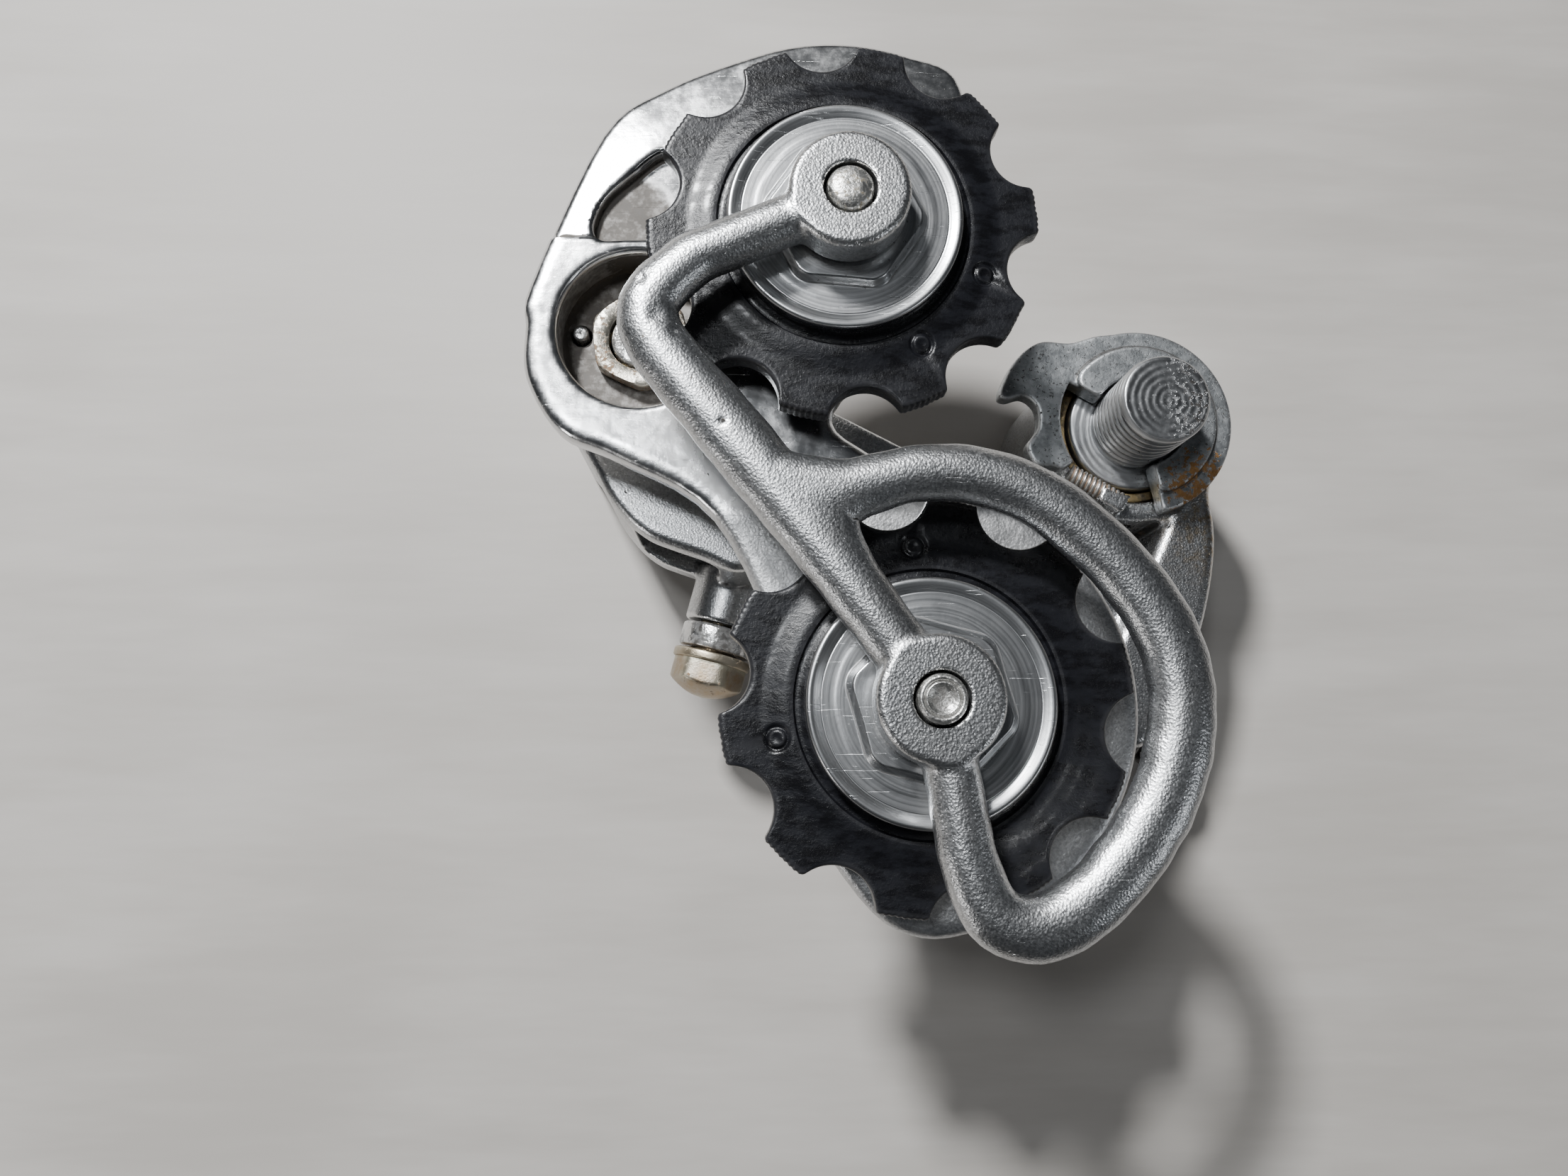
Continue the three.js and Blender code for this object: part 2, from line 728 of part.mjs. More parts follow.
function chamberDepth() {
  return pocketLevel - pocketFloor - cageBottom;
}

// ---- Cage ---------------------------------------------------------------------------------------

const springPegRadius = 0.8;
const pegPlace = offset(cagePivot, [-6.3, 0.9]);

// The plate wraps the pivot housing and the back of the guide pulley, and ends in a disc
// behind the tension pulley.
function plateOutline() {
  const points = [
    ...arc(guideAxis, plateGuideRadius, rad(58), rad(112), 4),
    polar(guideAxis, plateGuideRadius + 1.6, rad(134)),
    polar(guideAxis, plateGuideRadius + 3.6, rad(152)),
    polar(cagePivot, lowerRadius + 1.1, rad(158)),
    polar(cagePivot, lowerRadius + 0.5, rad(178)),
    polar(cagePivot, lowerRadius + 1.4, rad(205)),
    polar(cagePivot, lowerRadius + 2.4, rad(235)),
    polar(cagePivot, lowerRadius + 2.8, rad(262)),
    polar(tensionAxis, plateTensionRadius + 5.5, rad(137)),
    polar(tensionAxis, 0.92 * hubRadius, rad(160)),
    polar(tensionAxis, 0.92 * hubRadius, rad(205)),
    polar(tensionAxis, plateTensionRadius - 2.8, rad(252)),
    ...arc(tensionAxis, plateTensionRadius, rad(270), rad(440), 9),
    polar(tensionAxis, plateTensionRadius + 4, rad(100)),
    polar(guideAxis, 0.95 * hubRadius + 2, rad(-92)),
    polar(guideAxis, 0.7 * hubRadius, rad(-45)),
    polar(guideAxis, 0.85 * hubRadius, rad(5)),
    polar(guideAxis, plateGuideRadius - 5.6, rad(40)),
  ];
  return smooth(points, 84);
}

function outerCagePlate() {
  const underside = plateInnerFace - plateThickness;
  const axleHoles = [guideAxis, tensionAxis].map((axis) =>
    placed(disc(axleRadius + gap, 0, 30, 18), axis));
  const recess = smooth([
    [-4.8, 11.2], [-3.6, 14.2], [-0.7, 17], [2.2, 19.2], [4.8, 18.4],
    [5.6, 15.2], [4.2, 11.6], [2.2, 9.6], [-1.6, 9.4], [-4, 9.4],
  ].map((p) => offset(cagePivot, p)), 30);
  return build(
    [
      prism(plateOutline(), underside, plateInnerFace),
      placed(disc(lowerRadius, cageBottom, plateInnerFace, 48), cagePivot),
    ],
    [
      placed(disc(pocketRadius, pocketLevel, 20, 40), cagePivot),
      placed(disc(bushOuter + gap, 0, 20, 28), cagePivot),
      placed(disc(boreRadius, 0, cageBottom + chamberDepth(), 40), cagePivot),
      placed(disc(springPegRadius + gap, 0, 20, 14), pegPlace),
      prism(recess, plateInnerFace - 0.65 * plateThickness, plateInnerFace + 1),
      ...axleHoles,
    ],
  );
}

function springPeg() {
  const low = pocketLevel - pocketFloor + 0.2;
  return placed(build([disc(springPegRadius, low, pocketLevel + 0.9, 14)]), pegPlace);
}

// One forged bar runs from the guide boss round an elbow to the tension boss, and a loop springs
// from it, passes round the tension pulley and returns to the same boss.
function innerCage() {
  const elbow = [
    [15.2, 6.3], [9.1, 3.6], [5.7, 1.9], [2.5, -1.4], [2.1, -3.7], [3.1, -6.1], [5.6, -9.4], [9, -13.4],
  ].map((p) => offset(cagePivot, p));
  const leg = [[-12.5, 17], [-6.4, 8.9]].map((p) => offset(tensionAxis, p));
  const diagonal = bar([guideAxis, ...elbow, ...leg, tensionAxis], barMiddle, 30);
  const round = [
    [-14.5, 20], [-11.6, 19.2], [-8.1, 18.9], [-4.9, 19.5], [-1.1, 20.3], [2.9, 20.3],
    [7.2, 19.2], [11.1, 17], [15.1, 13.5], [18.3, 9.6], [20.5, 5.6], [21.5, 1.1], [21.1, -3.6],
    [19.5, -8.3], [16.9, -12.5], [13.8, -16], [10.6, -18.4], [7.2, -19.3], [4.3, -18],
    [2.5, -14.2], [1.7, -10.1], [1.1, -6.3],
  ].map(([x, y]) => offset(tensionAxis, [x * loopScale, y * loopScale]));
  const loop = bar([...round, tensionAxis], barMiddle, 44);
  const low = bossTop - bossHeight;
  const bosses = [guideAxis, tensionAxis].map((axis) => placed(turned([
    [0, low], [bossRadius, low], [bossRadius, bossTop - 0.7], [bossRadius - 0.7, bossTop], [0, bossTop],
  ]), axis));
  const holes = [guideAxis, tensionAxis].map((axis) =>
    placed(disc(axleRadius + gap, 0, 40, 18), axis));
  return build([diagonal, loop, ...bosses], holes);
}

// ---- Pulleys ------------------------------------------------------------------------------------

// Chain rollers sit in round valleys one pitch apart, between teeth with flat tips.
function toothOutline() {
  const pitchRadius = chainPitch / (2 * Math.sin(Math.PI / teeth));
  const centre = new THREE.Vector2(0, 0);
  const squares = pitchRadius ** 2 + toothTipRadius ** 2 - rollerRadius ** 2;
  const land = Math.PI / teeth - Math.acos(squares / (2 * pitchRadius * toothTipRadius));
  const points = [];
  for (let tooth = 0; tooth < teeth; tooth++) {
    const middle = (2 * Math.PI * tooth) / teeth;
    const valley = middle + Math.PI / teeth;
    points.push(...arc(centre, toothTipRadius, middle - 0.7 * land, middle + 0.7 * land, 2));
    const seat = polar(centre, pitchRadius, valley);
    points.push(...arc(seat, rollerRadius, valley - rad(116), valley - rad(244), 6));
  }
  return points;
}

function pulley(axis, phase) {
  const low = pulleyMiddle - hubThickness / 2;
  const high = pulleyMiddle + hubThickness / 2;
  return placed(build(
    [
      prism(toothOutline(), pulleyMiddle - toothThickness / 2, pulleyMiddle + toothThickness / 2),
      turned([
        [0, low], [hubRadius - 0.5, low], [hubRadius, low + 0.5],
        [hubRadius, high - 0.5], [hubRadius - 0.5, high], [0, high],
      ], 30),
    ],
    [disc(pulleyBore(), 0, 40, 28)],
  ), axis, phase);
}

function pulleyBore() {
  return axleRadius + gap + pulleyBushWall + gap;
}

function pulleyBush(axis) {
  const low = pulleyMiddle - hubThickness / 2;
  const inner = axleRadius + gap;
  return placed(build([tube(inner, inner + pulleyBushWall, low, low + hubThickness, 18)]), axis);
}

// A pressed dust cap with a rolled rim. The inboard one has a raised hexagon under the cage's boss.
function shield(axis, hexagonTurn) {
  const inboard = hexagonTurn !== undefined;
  const web = shieldStep;
  const profile = turned([
    [0, web], [shieldRadius - 1.4, web], [shieldRadius - 1.1, 0], [shieldRadius, 0],
    [shieldRadius, shieldRim - 0.4], [shieldRadius - 0.6, shieldRim],
    [shieldRadius - 1.3, web + shieldThickness], [0, web + shieldThickness],
  ], 28);
  const joined = [profile];
  if (inboard) {
    const acrossFlats = (hexAcrossCorners * Math.sqrt(3)) / 2;
    joined.push(hexagon(acrossFlats, web, web + shieldThickness + hexHeight).rotateZ(hexagonTurn));
  }
  const made = build(joined, [disc(axleRadius + gap, -1, 9, 18)]);
  if (inboard) return placed(made.translate(0, 0, shieldLevel), axis);
  return placed(made.rotateX(Math.PI).translate(0, 0, pulleyMiddle - hubThickness / 2 - gap), axis);
}

function axle(axis) {
  const under = plateInnerFace - plateThickness - gap;
  return placed(build([turned([
    [0, under - 1], [3.2, under - 1], [3.6, under - 0.6], [3.6, under], [axleRadius, under],
    [axleRadius, bossTop - 0.1], [axleRadius - 0.6, bossTop + 0.3], [0, bossTop + 0.4],
  ], 18)]), axis);
}

// ---- Assembly -----------------------------------------------------------------------------------

add("hanger_stop", hangerStop(), satinSteel);
add("mounting_bolt", mountingBolt(), brightSteel);
add("tension_screw", tensionScrew(), rustySteel);
add("knuckle_bush", knuckleBush(), bronze);
add("body_spring", bodySpring(), springSteel);
add("upper_knuckle", upperKnuckle(), castAlloy);
add("high_limit_screw", limitScrew(limitY), satinSteel);
add("low_limit_screw", limitScrew(-limitY), satinSteel);
add("cable_adjuster", adjuster(), blackResin);
add("adjuster_spring", adjusterSpring(), springSteel);

add("outer_link", outerLink(), polishedAlloy);
add("inner_link", innerLink(), castAlloy);

const pinHalf = linkWidth / 2 + 0.2;
add("upper_outer_pin", linkPin(upperPins, pinLevels.upperOuter, -pinHalf, pinHalf), brightSteel);
add("upper_inner_pin", linkPin(upperPins, pinLevels.upperInner, -pinHalf, pinHalf), brightSteel);
add("lower_outer_pin", linkPin(lowerPins, pinLevels.lowerOuter, -pinHalf, pinHalf), brightSteel);
add("lower_inner_pin", linkPin(lowerPins, pinLevels.lowerInner, returnEnd - 1.4, pinHalf), brightSteel);

add("lower_knuckle", lowerKnuckle(), castAlloy);
add("return_spring", returnSpring(), springSteel);
add("cable_clamp_washer", clampWasher(), brightSteel);
add("cable_clamp_bolt", clampBolt(), rustySteel);
add("cage_spring", cageSpring(), springSteel);
add("cage_pivot_bolt", pivotBolt(), brightSteel);
add("cage_pivot_nut", pivotNut(), rustySteel);
add("cage_bush", cageBush(), bronze);
add("spring_peg", springPeg(), satinSteel);

add("outer_cage_plate", outerCagePlate(), polishedAlloy);
add("inner_cage", innerCage(), castAlloy);
const pulleys = [
  ["guide", guideAxis, guidePhase, guideHexagonTurn],
  ["tension", tensionAxis, tensionPhase, tensionHexagonTurn],
];
for (const [name, axis, phase, hexagonTurn] of pulleys) {
  add(`${name}_pulley`, pulley(axis, phase), blackResin);
  add(`${name}_bush`, pulleyBush(axis), bronze);
  add(`${name}_axle`, axle(axis), satinSteel);
  add(`${name}_inner_shield`, shield(axis, hexagonTurn), satinSteel);
  add(`${name}_outer_shield`, shield(axis), satinSteel);
}

export default root;
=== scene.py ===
import math
import bmesh
import bpy
import numpy as np
from mathutils import Matrix, Vector


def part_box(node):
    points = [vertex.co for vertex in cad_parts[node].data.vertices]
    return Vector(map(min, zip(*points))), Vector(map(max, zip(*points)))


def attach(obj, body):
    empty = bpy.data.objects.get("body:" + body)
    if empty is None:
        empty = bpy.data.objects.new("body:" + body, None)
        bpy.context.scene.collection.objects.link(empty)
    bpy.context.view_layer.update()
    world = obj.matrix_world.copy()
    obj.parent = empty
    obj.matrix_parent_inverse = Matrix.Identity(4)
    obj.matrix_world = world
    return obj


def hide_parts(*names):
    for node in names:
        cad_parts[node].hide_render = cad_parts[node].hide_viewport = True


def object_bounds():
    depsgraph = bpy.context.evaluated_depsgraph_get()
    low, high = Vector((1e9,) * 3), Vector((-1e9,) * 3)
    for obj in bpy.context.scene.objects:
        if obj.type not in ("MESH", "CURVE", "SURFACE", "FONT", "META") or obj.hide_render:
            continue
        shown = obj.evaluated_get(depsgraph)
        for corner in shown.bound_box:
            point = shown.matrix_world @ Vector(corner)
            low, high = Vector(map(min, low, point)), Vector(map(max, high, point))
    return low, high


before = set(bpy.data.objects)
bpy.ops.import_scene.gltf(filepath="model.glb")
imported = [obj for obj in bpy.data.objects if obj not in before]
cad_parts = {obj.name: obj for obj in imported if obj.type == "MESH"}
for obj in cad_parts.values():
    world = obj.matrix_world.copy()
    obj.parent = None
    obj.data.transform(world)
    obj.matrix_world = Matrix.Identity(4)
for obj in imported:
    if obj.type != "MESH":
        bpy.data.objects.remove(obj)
cad_low, cad_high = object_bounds()

# ---- The bench it lies on -----------------------------------------------------------------------
# A plain pale bench top. The derailleur lies on its outer side, and is seen from the wheel's side.
# A bright lamp stands up and to the left, and two weaker ones fill in from the other sides.

MM = 0.001  # lengths below are in millimetres, and one millimetre is this many metres
BENCH_HALF = 0.9
FAR = 60.0
LAMPS = (
    ("key_lamp", (-0.26, 0.34, 0.48), 0.08, 7.2, (0.98, 0.99, 1.0)),
    ("top_lamp", (-0.20, 0.10, 0.58), 0.10, 0.8, (0.94, 0.97, 1.0)),
    ("fill_lamp", (0.46, -0.24, 0.30), 0.14, 0.25, (0.92, 0.96, 1.0)),
    ("low_lamp", (-0.42, -0.30, 0.14), 0.12, 0.25, (1.0, 0.98, 0.96)),
)
middle = (cad_low + cad_high) / 2


def aimed(place, target):
    """The turn that points an object's own -Z from place to target."""
    return (Vector(target) - Vector(place)).to_track_quat("-Z", "Y")


for lamp_name, lamp_place, lamp_size, lamp_power, lamp_colour in LAMPS:
    lamp = bpy.data.lights.new(lamp_name, "AREA")
    lamp.shape = "DISK"
    lamp.size = lamp_size
    lamp.energy = lamp_power
    lamp.color = lamp_colour
    stand = bpy.data.objects.new(lamp_name, lamp)
    stand.location = lamp_place
    stand.rotation_mode = "QUATERNION"
    stand.rotation_quaternion = aimed(lamp_place, middle)
    bpy.context.collection.objects.link(stand)

world = bpy.data.worlds.new("studio")
world.use_nodes = True
world.node_tree.nodes["Background"].inputs["Color"].default_value = (0.80, 0.86, 0.95, 1)
world.node_tree.nodes["Background"].inputs["Strength"].default_value = 0.035
bpy.context.scene.world = world

CAMERA_PLACE = (-45.63, -38.73, 122.71)
CAMERA_PITCH = -0.1526
CAMERA_YAW = 0.0363
FRAME_WIDTH = 2212
FOCAL_STEPS = 1577.5  # focal length in widths of one point of a frame that many points wide
camera = bpy.data.cameras.new("camera")
camera.sensor_width = 36
camera.lens = camera.sensor_width * FOCAL_STEPS / FRAME_WIDTH
camera.clip_start = 0.004
camera.clip_end = FAR
viewer = bpy.data.objects.new("camera", camera)
turn_to_view = Matrix.Rotation(CAMERA_PITCH, 3, "X") @ Matrix.Rotation(CAMERA_YAW, 3, "Y")
viewer.location = Vector(CAMERA_PLACE) * MM
viewer.rotation_mode = "QUATERNION"
viewer.rotation_quaternion = turn_to_view.transposed().to_quaternion()
bpy.context.collection.objects.link(viewer)
bpy.context.scene.camera = viewer


class Value:
    """A shader socket used in sums. Each operator adds one Math node and gives its result."""

    def __init__(self, finish, socket):
        self.finish, self.socket = finish, socket

    def maths(self, operation, *terms):
        return self.finish.node("Math", {"operation": operation}, dict(enumerate(terms)))

    def __add__(self, other):
        return self.maths("ADD", self, other)

    def __sub__(self, other):
        return self.maths("SUBTRACT", self, other)

    def __rsub__(self, other):
        return self.maths("SUBTRACT", other, self)

    def __mul__(self, other):
        return self.maths("MULTIPLY", self, other)

    def __truediv__(self, other):
        return self.maths("DIVIDE", self, other)

    def __pow__(self, other):
        return self.maths("POWER", self, other)

    def sine(self):
        return self.maths("SINE", self)

    def at_most(self, limit):
        return self.maths("MINIMUM", self, limit)

    __radd__ = __add__
    __rmul__ = __mul__


class Finish:
    """One material. node() adds a shader node, and the other methods name what is used most."""

    def __init__(self, name):
        self.material = bpy.data.materials.new(name)
        self.material.use_nodes = True
        self.tree = self.material.node_tree
        self.shader = self.tree.nodes["Principled BSDF"]
        self.place = self.node("TexCoord", out="Object")

    def node(self, kind, settings=None, sockets=None, out=0):
        """Adds one node of that kind: first its settings, then its sockets' values or links."""
        node = self.tree.nodes.new("ShaderNode" + kind)
        for key, value in (settings or {}).items():
            setattr(node, key, value)
        for key, value in (sockets or {}).items():
            self.give(node.inputs[key], value)
        return Value(self, node.outputs[out])

    def give(self, socket, value):
        if isinstance(value, Value):
            self.tree.links.new(value.socket, socket)
        else:
            socket.default_value = value

    def set(self, **sockets):
        """Gives the shader's sockets their values, such as Base_Color=colour."""
        for key, value in sockets.items():
            self.give(self.shader.inputs[key.replace("_", " ")], value)
        return self

    def part(self, letter, vector=None):
        """One coordinate of a vector, or of the object coordinates."""
        return self.node("SeparateXYZ", None, {0: vector or self.place}, letter)

    def flat(self, x=0, y=0):
        """Object coordinates from an upright axis, with no height."""
        return self.stretched(scale=(1, 1, 0), centre=(x * MM, y * MM, 0))

    def length(self, vector):
        return self.node("VectorMath", {"operation": "LENGTH"}, {0: vector}, "Value")

    def distance(self, vector, point):
        """How far a vector is from a point given in millimetres."""
        sockets = {0: vector, 1: tuple(c * MM for c in point)}
        return self.node("VectorMath", {"operation": "DISTANCE"}, sockets, "Value")

    def noise(self, size, detail=3.0, roughness=0.55, place=None):
        """Cloudy noise from 0 to 1 whose blotches are about size millimetres across."""
        sockets = {"Vector": place or self.place, "Scale": 1 / (size * MM), "Detail": detail,
                   "Roughness": roughness}
        return self.node("TexNoise", None, sockets)

    def cells(self, size, place=None, feature="F1"):
        """Distance to the nearest of many scattered points, size millimetres apart."""
        sockets = {"Vector": place or self.place, "Scale": 1 / (size * MM)}
        return self.node("TexVoronoi", {"feature": feature}, sockets)

    def stretched(self, turn=(0, 0, 0), scale=(1, 1, 1), centre=(0, 0, 0)):
        """Object coordinates moved to a centre, then turned and scaled."""
        moved = self.node("VectorMath", {"operation": "SUBTRACT"}, {0: self.place, 1: centre})
        return self.node("Mapping", None, {"Vector": moved, "Rotation": turn, "Scale": scale})

    def ramp(self, value, low, high, to_low=0.0, to_high=1.0):
        """Runs smoothly from to_low to to_high as value goes from low to high."""
        sockets = {"Value": value, "From Min": low, "From Max": high, "To Min": to_low,
                   "To Max": to_high}
        return self.node("MapRange", {"interpolation_type": "SMOOTHSTEP"}, sockets)

    def mix(self, share, first, second):
        """A colour between two colours."""
        opaque = [c if isinstance(c, Value) else (*c, 1) for c in (first, second)]
        sockets = {0: share, 6: opaque[0], 7: opaque[1]}
        return self.node("Mix", {"data_type": "RGBA"}, sockets, 2)

    def bump(self, height, depth, normal=None):
        """A normal for a surface whose height of 1 stands depth millimetres up."""
        sockets = {"Height": height, "Distance": depth * MM, "Strength": 1.0}
        if normal is not None:
            sockets["Normal"] = normal
        return self.node("Bump", None, sockets)

    def edges(self):
        """How worn an outer edge is, and how deep in a crease, each from 0 to 1. The finishes
        darken creases by the second, with dirt and painted shade.
        """
        stand = self.node("Attribute", {"attribute_name": "stand"}, None, "Fac")
        return self.ramp(stand, 0.12, 0.75), self.ramp(stand, -0.08, -0.6)


BENCH_DARK, BENCH_LIGHT = (0.43, 0.405, 0.375), (0.53, 0.505, 0.475)


def bench_top():
    finish = Finish("bench_top")
    board = finish.stretched(scale=(0.25, 1.6, 1))
    grain = finish.noise(9, 4, 0.6, board) * 0.5 + finish.noise(60, 2) * 0.5
    return finish.set(
        Base_Color=finish.mix(finish.ramp(grain, 0.3, 0.7), BENCH_DARK, BENCH_LIGHT),
        Roughness=finish.ramp(grain, 0.2, 0.8, 0.5, 0.62),
    ).material


bench_mesh = bpy.data.meshes.new("bench")
across = np.array([-1, 1, 1, -1]) * BENCH_HALF
along = np.array([-1, -1, 1, 1]) * BENCH_HALF
bench_level = np.full(4, cad_low.z)
bench_mesh.from_pydata(np.stack([across, along, bench_level], 1), [], [(0, 1, 2, 3)])
bench = bpy.data.objects.new("bench", bench_mesh)
bench_mesh.materials.append(bench_top())
bpy.context.collection.objects.link(bench)

# ---- Mounting bolt ------------------------------------------------------------------------------
# The M10 bolt that screws into the hanger: bright plated steel, its end faced off on a lathe.
# A wide shoulder under the thread carries the upper knuckle, and its head has a hexagon socket.

TAU = 2 * math.pi
ROUND = 120  # points round a turned piece


def softened(profile, radius, steps=5, closed=False):
    """Rounds a profile's corners. Near corner P, between A and B, each radius away along its
    sides, it follows (1-t)^2 A + 2 t (1-t) P + t^2 B."""
    profile = np.asarray(profile, float)
    before, after = np.roll(profile, 1, 0) - profile, np.roll(profile, -1, 0) - profile
    lengths = [np.linalg.norm(side, axis=1, keepdims=True) + 1e-9 for side in (before, after)]
    reach = np.minimum(radius, 0.49 * np.minimum(*lengths))
    start, end = profile + before / lengths[0] * reach, profile + after / lengths[1] * reach
    t = np.linspace(0, 1, steps)[None, :, None]
    curve = (1 - t) ** 2 * start[:, None] + 2 * t * (1 - t) * profile[:, None] + t**2 * end[:, None]
    if closed:
        return curve.reshape(-1, 2)
    return np.concatenate([profile[:1], curve[1:-1].reshape(-1, 2), profile[-1:]])


def turned(profile, count=ROUND):
    """Carries profile points (r, z) round the Z axis: x = r cos t, y = r sin t."""
    r, z = np.asarray(profile, float).T[:, :, None]
    t = np.linspace(0, TAU, count, endpoint=False)
    return np.stack([r * np.cos(t), r * np.sin(t), z + 0 * t], -1)


def skin(grid, close_rows=False):
    """The points and four-sided faces of a grid whose columns close on themselves."""
    rows, columns = grid.shape[:2]
    number = np.arange(rows * columns).reshape(rows, columns)
    if close_rows:
        number = np.concatenate([number, number[:1]])
    right = np.roll(number, -1, 1)
    faces = np.stack([number[:-1], right[:-1], right[1:], number[1:]], -1)
    return grid.reshape(-1, 3), faces.reshape(-1, 4)


def outward(points, faces):
    """The faces turned so that they enclose a volume above zero."""
    corners = points[faces]
    first = np.cross(corners[:, 1] - corners[:, 0], corners[:, 2] - corners[:, 0])
    second = np.cross(corners[:, 2] - corners[:, 0], corners[:, 3] - corners[:, 0])
    volume = ((first + second) * corners[:, 0]).sum()
    return faces if volume > 0 else faces[:, ::-1]


def set_on(shell, axis_point, axis=(0, 0, 1), turn=0.0):
    """Turns a shell about Z, tips its Z onto an axis, and moves it to a point."""
    points, faces = shell
    tip = np.array(Vector((0, 0, 1)).rotation_difference(Vector(axis)).to_matrix())
    spin = np.array(Matrix.Rotation(turn, 3, "Z"))
    return points @ (tip @ spin).T + np.asarray(axis_point, float), faces


def mark_stand(mesh, rounds=3):
    """Stores how far each point stands out of its neighbours along its normal, over the mean
    length of its sides: above zero on an outer edge, below zero in a crease."""
    count = len(mesh.vertices)
    places, normals = np.zeros(count * 3), np.zeros(count * 3)
    ends = np.zeros(len(mesh.edges) * 2, int)
    mesh.vertices.foreach_get("co", places)
    mesh.vertices.foreach_get("normal", normals)
    mesh.edges.foreach_get("vertices", ends)
    places, normals, ends = places.reshape(-1, 3), normals.reshape(-1, 3), ends.reshape(-1, 2)
    from_end, to_end = np.concatenate([ends, ends[:, ::-1]]).T
    shared = np.maximum(np.bincount(from_end, minlength=count), 1)

    def around(values):
        return np.bincount(from_end, values[to_end], count) / shared

    mean = np.stack([around(places[:, i]) for i in range(3)], 1)
    side = np.linalg.norm(places[from_end] - places[to_end], axis=1)
    side = np.bincount(from_end, side, count) / shared + 1e-9
    stand = ((places - mean) * normals).sum(1) / side * 6
    for _ in range(rounds):
        stand = 0.5 * stand + 0.5 * around(stand)
    layer = mesh.attributes.new("stand", "FLOAT", "POINT")
    layer.data.foreach_set("value", np.clip(stand, -1, 1))


def piece(node, body, finish, shell, crisp=40):
    """Puts a shell of points in millimetres into the scene, in place of its CAD node."""
    points, faces = shell
    mesh = bpy.data.meshes.new(node + "_made")
    mesh.from_pydata(points * MM, [], outward(points, faces).tolist())
    merged = bmesh.new()
    merged.from_mesh(mesh)
    bmesh.ops.remove_doubles(merged, verts=merged.verts, dist=2e-7)
    merged.to_mesh(mesh)
    merged.free()
    mesh.polygons.foreach_set("use_smooth", np.ones(len(mesh.polygons), bool))
    mesh.set_sharp_from_angle(angle=math.radians(crisp))
    mark_stand(mesh)
    mesh.materials.append(finish)
    made = bpy.data.objects.new(node + "_made", mesh)
    bpy.context.collection.objects.link(made)
    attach(made, body)
    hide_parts(node)
    return made


def middle_of(node):
    """The middle of a CAD node's box, in millimetres."""
    low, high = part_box(node)
    return np.array((low + high) / 2) / MM


def span_of(node, axis=2):
    """A CAD node's lowest and highest level along an axis, in millimetres."""
    low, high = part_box(node)
    return low[axis] / MM, high[axis] / MM


def hexed(across_flats, angle, corner=0.25):
    """Radius of a hexagon at an angle: half its width over the cosine from the nearest flat's
    middle, eased at the corners."""
    off = (angle + math.pi / 6) % (math.pi / 3) - math.pi / 6
    sharp = across_flats / 2 / np.cos(off)
    limit = across_flats / math.sqrt(3) - corner
    return -np.logaddexp(-sharp * 12, -limit * 12) / 12


def lathe_rings(finish, centre, pitch):
    """Fine rings round an axis, as a lathe tool leaves them, from 0 to 1."""
    radius = finish.length(finish.flat(*centre))
    wobble = finish.noise(1.5, 2) * 0.35
    return (radius * (TAU / (pitch * MM)) + wobble * TAU).sine() * 0.5 + 0.5


def faced_steel():
    """Bright plating with turning rings on the end face, black pits, and grease with painted shade
    darkening the thread's grooves.
    """
    finish = Finish("faced_steel")
    worn, crease = finish.edges()
    rings = lathe_rings(finish, (0.4, -0.3), 0.78)
    normal = finish.node("NewGeometry", out="Normal")
    facing = finish.ramp(finish.part("Z", normal), 0.6, 0.9)
    pitted = finish.ramp(finish.part("X") + finish.noise(4) * 4 * MM, 1.2 * MM, 5.0 * MM)
    pits = finish.ramp(finish.noise(0.55, 3, 0.6), 0.53, 0.6) * pitted * facing
    specks = finish.ramp(finish.noise(0.4, 2), 0.68, 0.73)
    # Grease and painted shade: the thread's grooves below this radius go near black.
    root_grease_and_shade = finish.ramp(finish.length(finish.flat()), 4.86 * MM, 4.6 * MM) * (1 - facing)
    dark = (pits + root_grease_and_shade * 0.85 + specks * 0.6).at_most(1)
    tone = finish.mix(finish.noise(1.8, 4), (0.42, 0.43, 0.44), (0.70, 0.71, 0.72))
    height = rings * facing * 0.9 + finish.noise(0.3, 2) * 0.25 - pits * 1.5
    deep = finish.ramp(finish.part("Z"), -3 * MM, -0.5 * MM, 1, 0)
    return finish.set(
        Base_Color=finish.mix(dark, tone, (0.035, 0.032, 0.03)),
        Metallic=1 - dark * 0.7,
        Roughness=0.22 + finish.noise(0.9, 4) * 0.16 + dark * 0.3 + deep * 0.1,
        Normal=finish.bump(height, 0.035),
    ).material


THREAD_PITCH = 1.25
THREAD_DEPTH = 0.42
bolt_low, bolt_high = span_of("mounting_bolt")
BOLT_STEPS = (7.4, -3.3, -9.3, 4.6)  # shoulder radius, its top and bottom levels, shank radius
BOLT_HEAD = (8.2, 3.6)
SOCKET = (6.0, 2.6)
THREAD_RADIUS = 4.95


